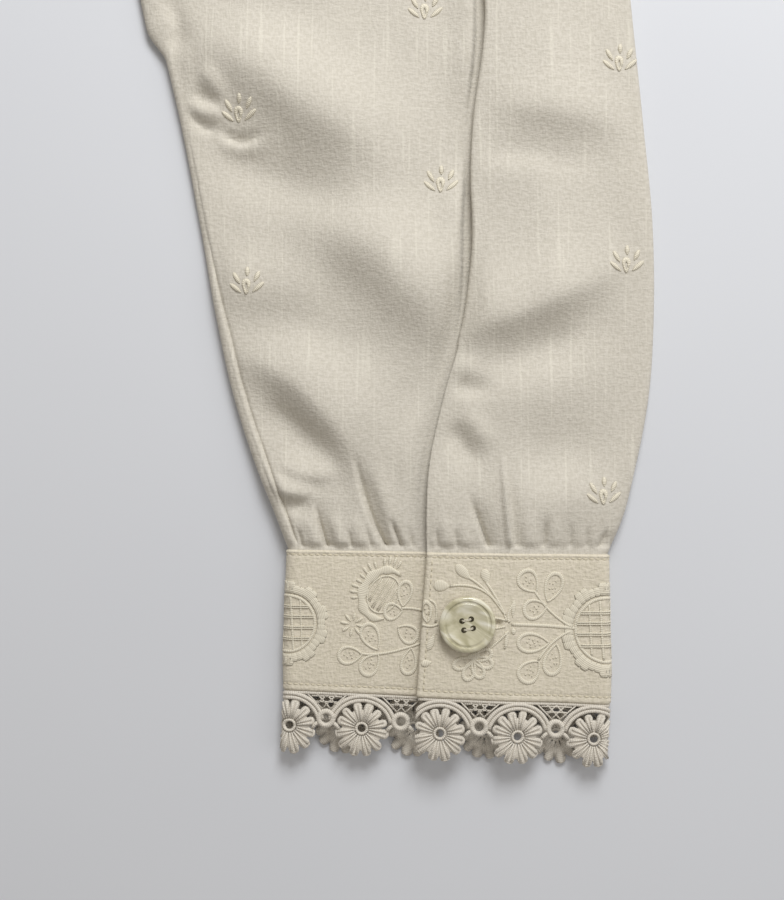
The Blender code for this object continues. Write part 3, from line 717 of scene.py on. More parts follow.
class PanelSurface:
    """The middle surface of a body panel."""

    HEM = 15.0

    def __init__(self, drop: float, folded: bool, level: float) -> None:
        self.drop = drop
        self.folded = folded
        self.level = level

    def neckline(self, share: Array) -> Array:
        """Points on the neck edge, from 0 at the centre line to 1 at the shoulder."""
        return np.stack((NECK_HALF * share, NECK_TOP - self.drop * (1.0 - share * share)), -1)

    @staticmethod
    def armhole(share: Array) -> Array:
        """Points on the armhole, from the underarm to the shoulder."""
        run = np.array(SHOULDER) - np.array(UNDERARM)
        length = math.hypot(*run)
        bow = ARMHOLE_BOW * 4.0 * share * (1.0 - share)
        return np.stack((UNDERARM[0] + run[0] * share - bow * run[1] / length,
                         UNDERARM[1] + run[1] * share + bow * run[0] / length), -1)

    def outer_edge(self, count: int) -> Array:
        """Points up the side seam and round the armhole."""
        rise = np.linspace(0.0, 1.0, count)[:-1, None]
        seam = np.array((HEM_HALF, 0.0)) * (1.0 - rise) + np.array(UNDERARM) * rise
        return np.concatenate((seam, self.armhole(np.linspace(0.0, 1.0, count))))

    def upper_edge(self, count: int) -> Array:
        """Points along the neck edge and the shoulder seam."""
        neck = self.neckline(np.linspace(0.0, 1.0, count)[:-1])
        share = np.linspace(0.0, 1.0, count)[:, None]
        seam = np.array((NECK_HALF, NECK_TOP)) * (1.0 - share) + np.array(SHOULDER) * share
        return np.concatenate((neck, seam))

    def grid(self, rows: int, columns: int) -> Array:
        """Points over the whole panel, spread between its edges.

        Args:
            rows: points up the side seam, and again up the armhole.
            columns: points along the neck edge, and again along a shoulder.

        Returns:
            The points, rows by columns by two, from the left edge to the right one.
        """
        side, top = self.outer_edge(rows), self.upper_edge(columns)
        v = np.linspace(0.0, 1.0, len(side))[:, None, None]
        h = np.linspace(0.0, 1.0, len(top))[None, :, None]
        hem = np.stack((HEM_HALF * h[0, :, 0], np.zeros(len(top))), -1)[None]
        centre = np.stack((np.zeros(len(side)), top[0, 1] * v[:, 0, 0]), -1)[:, None]
        between = (1 - v) * hem + v * top[None] + (1 - h) * centre + h * side[:, None]
        corners = ((1 - h) * (1 - v) * hem[:, :1] + h * (1 - v) * hem[:, -1:]
                   + (1 - h) * v * top[None, :1] + h * v * top[None, -1:])
        half = between - corners
        mirrored = half[:, :0:-1] * np.array((-1.0, 1.0))
        return np.concatenate((mirrored, half), axis=1)

    def from_edge(self, x: Array, y: Array) -> Array:
        """Distances from points to the panel's edge."""
        edge = np.concatenate(([(0.0, 0.0)], self.outer_edge(12), self.upper_edge(12)[::-1][1:]))
        return beside(edge, np.abs(x), y)[0]

    def inside(self, x: float, y: float, margin: float) -> bool:
        """Whether a place lies on the panel, at least a margin from its edge."""
        top = NECK_TOP - self.drop * (1.0 - (min(abs(x), NECK_HALF) / NECK_HALF) ** 2)
        if abs(x) > NECK_HALF:
            top = NECK_TOP - (abs(x) - NECK_HALF) * SHOULDER_LINE[1] / SHOULDER_LINE[0]
        half = HEM_HALF if y < UNDERARM[1] else SHOULDER[0] - ARMHOLE_BOW
        within = abs(x) < half and 0.0 < y < top
        return within and float(self.from_edge(np.array([x]), np.array([y]))[0]) > margin

    def height(self, x: Array, y: Array) -> Array:
        """The height of the panel's middle at points."""
        if not self.folded:
            return np.full(np.shape(x), self.level)
        away = self.from_edge(x, y)
        inside = smooth(away / BACK_EDGE)
        height = SEAM_HEIGHT + (BACK_HEIGHT - SEAM_HEIGHT) * inside
        shape = relief(BACK_CREASES, x, y)
        shape = shape + 0.8 * WRINKLES.at(x / 46.0 + 7.0, y / 60.0)
        shape = shape + 0.3 * WRINKLES.at(x / 16.0, y / 21.0 + 11.0)
        height = height + shape * inside
        hem = 0.3 * smooth((self.HEM - y) / 0.8) - 0.12 * bell(y - self.HEM, 0.8)
        seam = 0.35 * bell(away - 4.0, 1.6) * smooth((y - 4.0) / 6.0)
        return np.maximum(height, SEAM_HEIGHT) + hem + seam

    def at(self, x: Array, y: Array, lift: Array) -> Array:
        """Points of the panel in the shirt's frame, in metres."""
        return np.stack((x, y - BODY_MIDDLE, self.height(x, y) + lift), -1) * MM


def new_piece(name: str, points: Array, faces: Sequence[Sequence[int]], uv: Array,
              merge: float = 0.0) -> Piece:
    """Make a smooth-shaded mesh piece without loose points, its faces turned outwards.

    Args:
        name: the piece's name.
        points: its vertices in metres.
        faces: its faces, as vertex numbers.
        uv: the cloth's own coordinates of each vertex, in millimetres.
        merge: the distance within which vertices are merged, or 0 for none.

    Returns:
        The new object, at the origin.
    """
    mesh = bpy.data.meshes.new(name)
    mesh.from_pydata(points.tolist(), [], faces)
    layer = mesh.uv_layers.new(name="cloth")
    corners = np.empty(len(mesh.loops), int)
    mesh.loops.foreach_get("vertex_index", corners)
    layer.data.foreach_set("uv", (uv[corners] * MM * 10.0).astype(np.float32).ravel())
    mesh.shade_smooth()
    work = bmesh.new()
    work.from_mesh(mesh)
    if merge:
        bmesh.ops.remove_doubles(work, verts=work.verts, dist=merge)
    loose = [v for v in work.verts if not v.link_faces]
    bmesh.ops.delete(work, geom=loose, context="VERTS")
    bmesh.ops.recalc_face_normals(work, faces=work.faces)
    work.to_mesh(mesh)
    work.free()
    piece = bpy.data.objects.new(name, mesh)
    bpy.context.scene.collection.objects.link(piece)
    return piece


def grid_piece(name: str, points: Array, uv: Sequence[Array], turned: bool = False,
               ring: bool = False, capped: bool = False, kept: Array | None = None) -> Piece:
    """Make a piece from a grid of vertices.

    Args:
        name: the piece's name.
        points: its vertices in metres, rows by columns by three.
        uv: the cloth's own two coordinates at the vertices, in millimetres.
        turned: whether the faces' order is turned round, for a mirrored piece.
        ring: whether the last column joins the first.
        capped: whether the first and last rows are closed.
        kept: which of the grid's faces are made, or None for all.

    Returns:
        The new piece.
    """
    rows, columns = points.shape[:2]
    index = np.arange(rows * columns).reshape(rows, columns)
    loop = np.concatenate((index, index[:, :1]), axis=1) if ring else index
    faces = np.stack((loop[:-1, :-1], loop[:-1, 1:], loop[1:, 1:], loop[1:, :-1]), -1)
    faces = faces[..., ::-1] if turned else faces
    faces = (faces if kept is None else faces[kept]).reshape(-1, 4).tolist()
    if capped:
        faces += [index[0].tolist(), index[-1].tolist()]
    flat_uv = np.stack(np.broadcast_arrays(*uv), -1).reshape(-1, 2)
    return new_piece(name, points.reshape(-1, 3), faces, flat_uv, MERGED if capped else 0.0)


def add_wall(piece: Piece, thickness: float) -> None:
    """Give a middle surface its wall, half to each side."""
    wall = piece.modifiers.new("wall", "SOLIDIFY")
    wall.thickness = thickness * MM
    wall.offset = 0.0


class ThreadWork:
    """Threads and cords laid on a surface, gathered into one mesh.

    A run follows a path in the surface's own millimetres, with a width and a height at each
    of its points, and is placed on the surface when the piece is made.
    """

    SECTIONS = {
        Cord.RAISED: np.array([(1, 0), (0.87, 0.5), (0.5, 0.87), (0, 1), (-0.5, 0.87),
                               (-0.87, 0.5), (-1, 0), (0, -0.3)]),
        Cord.LIGHT: np.array([(1, 0), (0.6, 0.85), (-0.6, 0.85), (-1, 0), (0, -0.3)]),
        Cord.ROUND: np.array([(math.cos(a), math.sin(a)) for a in np.arange(6) * math.pi / 3])}

    def __init__(self) -> None:
        self.rows: list[Array] = []
        self.faces: list[list[int]] = []
        self.count = 0

    def run(self, path: Array, width: Numbers, height: Numbers,
            lift: Numbers = 0.0, closed: bool = False, cord: Cord = Cord.RAISED) -> None:
        """Lay one thread.

        Args:
            path: its points on the surface.
            width: its width, one number or one at each point.
            height: its height above the cloth, or its whole height if it is round.
            lift: how far above the surface it lies.
            closed: whether its end joins its start.
            cord: its section.
        """
        path = np.asarray(path, float)
        count = len(path)
        if closed:
            tangent = np.roll(path, -1, axis=0) - np.roll(path, 1, axis=0)
        else:
            tangent = np.gradient(path, axis=0)
        tangent = tangent / (np.linalg.norm(tangent, axis=1, keepdims=True) + TINY)
        normal = np.stack((-tangent[:, 1], tangent[:, 0]), -1)
        width, height, lift = (np.broadcast_to(np.asarray(x, float), count).copy()
                               for x in (width, height, lift))
        ring = self.SECTIONS[cord]
        if cord is Cord.ROUND:
            height = height / 2.0
        sides = len(ring)
        flat = path[:, None] + normal[:, None] * (ring[None, :, :1] * width[:, None, None] / 2)
        lifts = lift[:, None] + ring[None, :, 1] * height[:, None]
        gone = np.concatenate(([0.0], np.cumsum(np.linalg.norm(np.diff(path, axis=0), axis=1))))
        around = np.arange(sides) / sides * width[:, None] * 2
        row = np.broadcast_arrays(flat[..., 0], flat[..., 1], lifts, gone[:, None], around)
        self.rows.append(np.stack(row, -1).reshape(-1, 5))
        index = self.count + np.arange(count * sides).reshape(count, sides)
        self.count += count * sides
        loop = np.concatenate((index, index[:, :1]), axis=1)
        if closed:
            loop = np.concatenate((loop, loop[:1]), axis=0)
        quads = np.stack((loop[:-1, :-1], loop[1:, :-1], loop[1:, 1:], loop[:-1, 1:]), -1)
        self.faces += quads.reshape(-1, 4).tolist()
        if not closed:
            self.faces += [index[0].tolist(), index[-1, ::-1].tolist()]

    def ring(self, centre: Array, radius: float, width: float, height: float) -> None:
        """Lay a ring of thread round a centre."""
        turn = np.arange(16) * math.tau / 16
        path = centre + radius * np.stack((np.cos(turn), np.sin(turn)), -1)
        self.run(path, width, height, closed=True)

    def lobe(self, start: Pair, end: Pair, width: float, height: float, points: int = 7,
             fullest: float = 0.6, cord: Cord = Cord.RAISED) -> None:
        """Lay a padded satin lobe, pointed at its start and round at its end.

        Args:
            start: its narrow end.
            end: its round end.
            width: its greatest width.
            height: its greatest height.
            points: the points along it.
            fullest: the share of its length at which it is widest.
            cord: its section.
        """
        share = (1.0 - np.cos(np.linspace(0.0, math.pi, points))) / 2.0
        rise = np.sin(np.clip(share / fullest, 0.0, 1.0) * math.pi / 2) ** 0.8
        falls = np.sqrt(np.clip(1.0 - ((share - fullest) / (1.0 - fullest)) ** 2, 0.0, 1.0))
        form = np.where(share < fullest, rise, falls)
        form = np.maximum(form, 0.12)
        path = np.array(start) * (1.0 - share[:, None]) + np.array(end) * share[:, None]
        self.run(path, width * form, height * (0.35 + 0.65 * form), cord=cord)

    def stitches(self, line: Array, length: float, pitch: float, width: Sequence[float],
                 height: Sequence[float]) -> None:
        """Lay a row of running stitches.

        Args:
            line: the points of the line that they follow.
            length: a stitch's length.
            pitch: the distance from one stitch's start to the next one's.
            width: a stitch's width at its start, middle and end.
            height: its height there.
        """
        gone = np.concatenate(([0.0], np.cumsum(np.hypot(*np.diff(line, axis=0).T))))
        for start in np.arange(0.0, gone[-1] - length, pitch):
            at = start + length * np.array((0.0, 0.5, 1.0))
            path = np.stack([np.interp(at, gone, column) for column in line.T], -1)
            self.run(path, width, height, cord=Cord.LIGHT)

    def piece(self, name: str, place: Place, turned: bool) -> Piece:
        """Make the piece on its surface."""
        rows = np.concatenate(self.rows)
        return new_piece(name, place(*rows[:, :3].T), self.faces, rows[:, 3:])


def rounding(inward: Array, corner: float) -> Array:
    """The share of its full height that a rounded edge has at distances inward from it."""
    return np.sqrt(np.clip(1.0 - ((corner - inward) / corner).clip(0.0) ** 2, 0.0, 1.0))


def linear(code: str) -> tuple[float, float, float, float]:
    """An sRGB hex colour as linear light."""
    values = [int(code[i:i + 2], 16) / 255.0 for i in (0, 2, 4)]
    return (*(v / 12.92 if v <= 0.04045 else ((v + 0.055) / 1.055) ** 2.4 for v in values), 1.0)


class Recipe:
    """A material in the making, with its node tree and its Principled shader."""

    def __init__(self, name: str) -> None:
        self.material = bpy.data.materials.new(name)
        self.material.use_nodes = True
        self.tree = self.material.node_tree
        self.shader = self.tree.nodes["Principled BSDF"]

    def feed(self, node: bpy.types.Node, inputs: dict) -> None:
        """Give a node's sockets, by name or number, their values or the sockets that feed them."""
        for name, value in inputs.items():
            if isinstance(value, Socket):
                self.tree.links.new(value, node.inputs[name])
            else:
                node.inputs[name].default_value = value

    def node(self, kind: str, settings: dict | None = None,
             inputs: dict | None = None) -> bpy.types.Node:
        """Add a node.

        Args:
            kind: the node's type.
            settings: its properties by name.
            inputs: its sockets, as feed takes them.

        Returns:
            The new node.
        """
        node = self.tree.nodes.new(kind)
        for name, value in (settings or {}).items():
            setattr(node, name, value)
        self.feed(node, inputs or {})
        return node

    def cloth(self) -> Socket:
        """The cloth's own coordinates, 10 to the metre."""
        return self.node("ShaderNodeUVMap", {"uv_map": "cloth"}).outputs[0]

    def place(self) -> Socket:
        """The place in the object, in metres."""
        return self.node("ShaderNodeTexCoord").outputs["Object"]

    def noise(self, inputs: dict, dimensions: str = "3D") -> Socket:
        """Noise with its inputs."""
        return self.node("ShaderNodeTexNoise", {"noise_dimensions": dimensions},
                         inputs).outputs["Fac"]

    def mix(self, factor: Socket, low: Socket | str, high: str) -> Socket:
        """Blend a colour, as a socket or sRGB hex, with another."""
        low = linear(low) if isinstance(low, str) else low
        return self.node("ShaderNodeMix", {"data_type": "RGBA"},
                         {"Factor": factor, 6: low, 7: linear(high)}).outputs[2]

    def span(self, value: Socket, low: float, high: float, most: float = 1.0,
             kind: str = "LINEAR") -> Socket:
        """Stretch a value from between two limits to between 0 and its most."""
        return self.node("ShaderNodeMapRange", {"interpolation_type": kind},
                         {"Value": value, "From Min": low, "From Max": high,
                          "To Max": most}).outputs[0]

    def bump(self, height: Socket, strength: float, relief: float,
             normal: Socket | None = None) -> Socket:
        """Raise a height by its relief in millimetres, over an earlier normal if there is one."""
        inputs = {"Height": height, "Strength": strength, "Distance": relief * MM}
        if normal is not None:
            inputs["Normal"] = normal
        return self.node("ShaderNodeBump", {}, inputs).outputs[0]

    def finish(self, inputs: dict) -> Material:
        """Feed the shader and hand over the material."""
        self.feed(self.shader, inputs)
        return self.material


@dataclass(frozen=True)
class SlubLinen:
    """Plain-woven linen of uneven yarn, washed and pressed: matt, with long pale slubs.

    The yarns are 0.5 mm apart in the cloth.  They are drawn 0.75 mm apart, the finest that
    shows in a picture with 0.32 mm to a pixel.
    """

    name: str = "cream_slub_linen"
    colour: str = "D0CBC0"
    shade: str = "C5C0B4"
    slub: str = "E4E0D3"
    yarn: float = 0.75
    slub_width: float = 1.1
    slub_length: float = 34.0
    relief: float = 0.2
    slub_strength: float = 0.36

    def streaks(self, recipe: Recipe, cloth: Socket, width: float, length: float, upright: bool,
                detail: float) -> Socket:
        """Long thin noise along the warp or the weft.

        Args:
            recipe: the material in the making.
            cloth: the cloth's coordinates.
            width: the streaks' width in millimetres.
            length: their length in millimetres.
            upright: whether they run along the warp.
            detail: the noise's detail.

        Returns:
            The noise's socket.
        """
        wide, long = 100.0 / width, 100.0 / length
        scale = (wide, long, 1.0) if upright else (long, wide, 1.0)
        start = (3.1, 7.7, 0.0) if upright else (11.3, 1.9, 0.0)
        placed = recipe.node("ShaderNodeMapping", {},
                             {"Vector": cloth, "Scale": scale, "Location": start})
        return recipe.noise({"Vector": placed.outputs[0], "Scale": 1.0, "Detail": detail,
                             "Roughness": 0.5}, "2D")

    def make(self) -> Material:
        """Build the material."""
        recipe = Recipe(self.name)
        cloth = recipe.cloth()
        yarns = [self.streaks(recipe, cloth, self.yarn, self.yarn * 2.6, upright, 2.0)
                 for upright in (True, False)]
        weave = recipe.node("ShaderNodeMath", {"operation": "ADD"},
                            {0: yarns[0], 1: yarns[1]}).outputs[0]
        base = recipe.mix(recipe.span(weave, 0.8, 1.2), self.shade, self.colour)
        for upright, share in ((True, 1.0), (False, 0.45)):
            slubs = self.streaks(recipe, cloth, self.slub_width, self.slub_length, upright, 0.0)
            few = recipe.span(slubs, 0.68, 0.86, self.slub_strength * share, "SMOOTHSTEP")
            base = recipe.mix(few, base, self.slub)
        tone = recipe.span(self.streaks(recipe, cloth, 60.0, 70.0, True, 2.0), 0.3, 0.7, 0.22)
        return recipe.finish({
            "Base Color": recipe.mix(tone, base, self.shade),
            "Normal": recipe.bump(weave, 0.7, self.relief),
            "Roughness": 0.85, "Specular IOR Level": 0.25,
            "Sheen Weight": 0.15, "Sheen Roughness": 0.5})


@dataclass(frozen=True)
class SpunThread:
    """Mercerised cotton thread: a soft silky glint, with the twist showing as fine ribs whose grooves
    are coloured darker as painted shade.
    """

    name: str
    colour: str
    # The colour in the twist's grooves: painted shade.
    shade: str
    rib: float
    roughness: float = 0.6
    relief: float = 0.12
    fuzz: float = 0.05

    def make(self) -> Material:
        """Build the material."""
        recipe = Recipe(self.name)
        ribs = recipe.node("ShaderNodeTexWave", {"bands_direction": "X", "wave_profile": "SIN"},
                           {"Vector": recipe.cloth(), "Scale": 100.0 / self.rib / math.pi,
                            "Distortion": 1.2, "Detail": 1.0, "Detail Scale": 0.6}).outputs["Fac"]
        hairs = recipe.noise({"Vector": recipe.place(), "Scale": 2200.0, "Detail": 2.0})
        twist = recipe.bump(ribs, 0.6, self.relief)
        # The colour runs from shade in the twist's grooves to colour on its ribs: painted shade,
        # beside the ribs' real bump.
        return recipe.finish({
            "Base Color": recipe.mix(ribs, self.shade, self.colour),
            "Normal": recipe.bump(hairs, 0.8, self.fuzz, twist),
            "Roughness": self.roughness, "Sheen Weight": 0.1})


@dataclass(frozen=True)
class PearlShell:
    """Turned and polished river shell: cloudy layers under a clear, wet-looking gloss, the pale clouds
    partly a painted sheen and the dark ones partly painted shade.
    """

    name: str = "polished_river_shell"
    colour: str = "CCC7AC"
    # shade is partly painted shade and pale is partly a painted sheen on the shell.
    shade: str = "ACA788"
    pale: str = "E6E3D3"

    def make(self) -> Material:
        """Build the material."""
        recipe = Recipe(self.name)
        streak = recipe.node("ShaderNodeMapping", {},
                             {"Vector": recipe.place(), "Rotation": (0.0, 0.0, 0.5),
                              "Scale": (60.0, 150.0, 60.0)})
        clouds = recipe.noise({"Vector": streak.outputs[0], "Scale": 1.1, "Detail": 2.5,
                               "Distortion": 2.2})
        # The stops run from shade through colour to pale: the shell's real cloudy layers, with painted
        # shade in the dark clouds and a painted sheen in the pale ones.
        ramp = recipe.node("ShaderNodeValToRGB", {}, {"Fac": clouds})
        stops = ramp.color_ramp.elements
        stops.new(0.5)
        cloud_shade_and_sheen = ((0.34, self.shade), (0.52, self.colour), (0.7, self.pale))
        for stop, (position, colour) in zip(stops, cloud_shade_and_sheen):
            stop.position = position
            stop.color = linear(colour)
        return recipe.finish({"Base Color": ramp.outputs["Color"], "Roughness": 0.24, "IOR": 1.53,
                              "Coat Weight": 0.8, "Coat Roughness": 0.08})


@dataclass(frozen=True)
class PaleTable:
    """Matt white laminate: plain, with the faintest cloudiness."""

    name: str = "matt_white_laminate"
    colour: str = "D7DADF"
    shade: str = "D1D4DA"

    def make(self) -> Material:
        """Build the material."""
        recipe = Recipe(self.name)
        clouds = recipe.noise({"Vector": recipe.place(), "Scale": 6.0})
        return recipe.finish({"Base Color": recipe.mix(clouds, self.shade, self.colour),
                              "Roughness": 0.7})


class Finishes:
    """The materials that the pieces share."""

    def __init__(self) -> None:
        self.linen = SlubLinen().make()
        self.cuff = SlubLinen("pressed_cuff_linen", "DBD3C2", "CFC8B5", "E4DECE", relief=0.3,
                              slub_strength=0.15).make()
        # Each thread's second colour is the painted shade in its twist's grooves.
        self.satin = SpunThread("whitework_cotton", "E2DCCB", "D4CDB9", 0.55).make()
        self.lace = SpunThread("guipure_cotton", "E3DDD2", "CCC6B9", 0.6, 0.85, fuzz=0.3).make()
        self.sewing = SpunThread("sewing_cotton", "DED6C0", "CCC3AB", 0.4).make()
        self.shell = PearlShell().make()


def dress(piece: Piece, material: Material) -> Piece:
    """Give a finished piece its material and its body."""
    piece.data.materials.clear()
    piece.data.materials.append(material)
    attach(piece, BODY)
    LOG.info("%s: %d faces", piece.name, len(piece.data.polygons))
    return piece


@dataclass
class Sleeve:
    """One sleeve: a flattened tube of thin linen, gathered into its cuff."""

    side: Side
    rows_seen: int = 150
    rows_above: int = 40
    gathering: float = 1.3
    seen_up: float = 190.0
    tucked: float = 1.6
    over_columns: int = 98
    under_columns: int = 92
    below_columns: int = 16
    turn_columns: int = 6
    lip_steps: tuple[float, ...] = (0.0, 0.6, 1.2, 1.8, 2.4, 3.0)
    pleat_columns: int = 8
    slit_top: float = 58.0
    flat: Pair = (0.40, 0.56)
    area: float = 0.15

    def __post_init__(self) -> None:
        self.plane = ArmPlane(self.side)
        self.surface = SleeveSurface(self.plane)

    def columns(self, section: Section) -> list[tuple[Array, Array, float]]:
        """The stretches of a section, each as across, height and its cloth offset."""
        surface = self.surface
        base = surface.CLOTH / 2.0
        width = section.width
        pleat = np.maximum(section.overlap, 0.0)
        opened = np.minimum(section.overlap, 0.0)
        nip = surface.NIP * np.minimum(pleat / surface.NIP_FULL, 1.0)
        radius = (section.single - base) / 2.0
        gapes = sum(bell(section.up - place, reach) for place, reach in surface.OPEN_AT)
        opening = surface.OPEN * gapes
        tuck = surface.TUCK * (1.0 - smooth((section.up - self.slit_top) / surface.TUCK_UP))
        over_start = section.fold + nip + opening
        under_end = section.fold + section.overlap - nip
        under_split = section.fold + opened - surface.MARGIN

        overs = steps(over_start, width - radius, self.over_columns, 1.15)
        over = surface.height(section, overs, Layer.OVER)
        last = surface.height(section, width - radius, Layer.OVER)
        arc = math.pi * (np.arange(self.turn_columns) + 0.5) / self.turn_columns
        half = (last - base) / 2.0
        out = (width - radius + radius * np.sin(arc), base + half + half * np.cos(arc))
        belows = steps(width - radius, radius, self.below_columns)
        below = np.full(belows.shape, base)
        first = surface.height(section, radius, Layer.UNDER)
        half = (first - base) / 2.0
        bulge = (surface.BULGE * smooth((section.up - surface.BULGE_FROM[0]) / surface.BULGE_FROM[1])
                 * (1.0 - smooth((section.up - surface.BULGE_TO[0]) / surface.BULGE_TO[1])))
        inner = (radius - (radius + bulge) * np.sin(arc), base + half - half * np.cos(arc))
        unders = steps(radius, under_split, self.under_columns, 1.3)
        under = surface.height(section, unders, Layer.UNDER)
        hidden = np.concatenate((under_split + np.array(self.lip_steps), under_end), axis=-1)
        settled = surface.height(section, under_split, Layer.UNDER)
        fades = smooth((hidden - under_split) / surface.DROP)
        floor = np.maximum(section.under - surface.DEEP * gapes, surface.FLOOR)
        hid = settled + (np.minimum(floor, section.under) - settled) * fades
        lift = section.over - section.under
        middle = section.under + 0.45 * lift
        edge = section.fold + opening + tuck
        knots = np.concatenate((
            under_end, section.fold + opened * 0.8 + pleat, section.fold + opened * 0.6 + pleat - nip,
            edge + opened * 0.4 + nip, edge + opened * 0.2, over_start), axis=-1)
        rises = np.concatenate((
            section.under, (section.under + middle) / 2, middle - 0.06 * lift,
            middle + 0.06 * lift, (section.over + middle) / 2, over[..., :1]), axis=-1)
        share = (np.arange(self.pleat_columns) + 1) / (self.pleat_columns + 1) * 5.0
        low = np.floor(share).astype(int)
        pleat_line = [knot[:, low] * (low + 1 - share) + knot[:, low + 1] * (share - low)
                      for knot in (knots, rises)]
        return [(overs, over), out, (belows, below), inner, (unders, under), (hidden, hid),
                tuple(pleat_line)]

    def build(self, finishes: Finishes) -> Piece:
        """Make the sleeve's cloth."""
        near = (np.linspace(0.0, 1.0, self.rows_seen) ** self.gathering
                * (self.seen_up + self.tucked) - self.tucked)
        far = np.linspace(self.seen_up, SLEEVE_HEAD[1], self.rows_above + 1)[1:]
        ups = np.concatenate((near, far))
        section = self.surface.section(ups[:, None])
        across, height = (np.concatenate(part, axis=1) for part in zip(*self.columns(section)))
        points = self.plane.place(section, across, height)
        columns = across.shape[1]
        kept = np.ones((len(ups) - 1, columns), bool)
        kept[ups[:-1] < self.slit_top, columns - self.pleat_columns - 1:] = False
        side, up = section.plan_at(across)
        past_fold = np.arange(columns) - self.over_columns - self.turn_columns
        below = (past_fold >= 0) & (past_fold < self.below_columns)
        u = np.where(below, 2.0 * section.right - side, side)
        piece = grid_piece(f"sleeve_{self.side.word}_linen", points, (u, up),
                           self.side is Side.LEFT, ring=True, kept=kept)
        add_wall(piece, self.surface.CLOTH)
        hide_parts(f"sleeve_{self.side.word}")
        return dress(piece, finishes.linen)


@dataclass
class Cuff:
    """One cuff: a doubled, edge-stitched band that is buttoned over itself."""

    side: Side
    wall: float = 1.7
    edge: float = 0.85
    columns: int = 260
    stitch_down: float = 1.5
    stitch_up: float = 2.2
    stitch_in: float = 1.9
    stitch: float = 1.5
    stitch_pitch: float = 1.95
    slit_pixel: Pair = (493.0, 623.0)
    slit_depth: float = 1.35
    flat: Pair = (0.23, 0.047)

    def __post_init__(self) -> None:
        self.surface = BandSurface(ArmPlane(self.side), CUFF_TABLE.at(0.0),
                                   CUFF_TABLE.at(-CUFF_HEIGHT), self.wall / 2.0, CUFF_HEIGHT)
        self.slit_at = self.surface.from_photo(*self.slit_pixel, Layer.OVER)

    def face_height(self, s: Array, v: Array) -> Array:
        """How the outer face stands off the middle: rounded edges, stitch grooves, puckers."""
        height = self.surface.height
        ends = np.minimum(s, self.surface.length - s)
        lines = (0.24 * bell(v - self.stitch_down, 0.45)
                 + 0.24 * bell(height - v - self.stitch_up, 0.5)
                 + 0.22 * bell(ends - self.stitch_in, 0.5))
        pucker = 0.10 * WRINKLES.at(s / 3.2, v / 6.0) + 0.16 * WRINKLES.at(s / 14.0 + 5.0, v / 12.0)
        seam_ridge = 0.22 * bell(v - 0.5, 0.6)
        beneath = smooth((s - self.surface.out_fold) / 3.0) * smooth((self.surface.arm_fold - s) / 3.0)
        slit = bell(v - self.slit_at[1], 0.8) * smooth(3.0 - np.abs(s - self.slit_at[0]) / 1.3)
        rolled = 0.24 * (1.0 - smooth((s - 1.9) / 0.8))
        return (self.wall / 2.0 - lines + (pucker + seam_ridge) * (1.0 - beneath) + rolled
                - self.slit_depth * slit)

    def build(self, finishes: Finishes) -> Piece:
        """Make the band: a ring of points round each of its cross-sections."""
        surface = self.surface
        corner = self.edge
        arc = np.linspace(0.0, math.pi / 2, 5)
        height = surface.height
        face = np.concatenate((corner - corner * np.cos(arc), steps(corner, height - corner, 88)[1:],
                               height - corner + corner * np.sin(arc)))
        back = steps(height - corner, corner, 12)
        s = np.concatenate(((0.0, 0.12, 0.35), np.linspace(0.7, surface.length - 0.7, self.columns),
                            surface.length - np.array((0.35, 0.12, 0.0))))
        ends = np.minimum(s, surface.length - s) + 0.06
        rounded = rounding(ends, corner)[:, None]
        grid_s, grid_v = np.meshgrid(s, face, indexing="ij")
        taper = rounding(np.minimum(grid_v, height - grid_v), corner)
        outer = self.face_height(grid_s, grid_v) * taper * rounded
        inner = np.full(back.shape, -self.wall / 2.0) * rounded
        all_s, all_v = np.meshgrid(s, np.concatenate((face, back)), indexing="ij")
        points = surface.at(all_s, all_v, np.concatenate((outer, inner), axis=1))
        piece = grid_piece(f"cuff_{self.side.word}_band", points, (all_s, all_v),
                           self.side is Side.LEFT, ring=True, capped=True)
        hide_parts(f"cuff_{self.side.word}")
        return dress(piece, finishes.cuff)

    def outside(self, s: Array, v: Array, lift: Array) -> Array:
        """Points on and above the outer face, in metres."""
        return self.surface.at(s, v, self.face_height(s, v) + lift)

    def build_stitches(self, finishes: Finishes) -> Piece:
        """Make the topstitching along the upper, lower and free edges."""
        work = ThreadWork()
        surface = self.surface
        long = int((surface.length - 2 * self.stitch_in) / self.stitch_pitch) * self.stitch_pitch
        for v in (self.stitch_down, surface.height - self.stitch_up):
            line = np.array(((self.stitch_in, v), (self.stitch_in + long, v)))
            work.stitches(line, self.stitch, self.stitch_pitch, (0.4, 0.6, 0.4), (0.12, 0.24, 0.12))
        first = self.stitch_down + self.stitch_pitch / 2
        line = np.array(((self.stitch_in, first), (self.stitch_in, surface.height - self.stitch_up)))
        work.stitches(line, self.stitch, self.stitch_pitch, (0.35, 0.5, 0.35), (0.1, 0.22, 0.1))
        piece = work.piece(f"cuff_{self.side.word}_stitches", self.outside, self.side is Side.LEFT)
        return dress(piece, finishes.sewing)


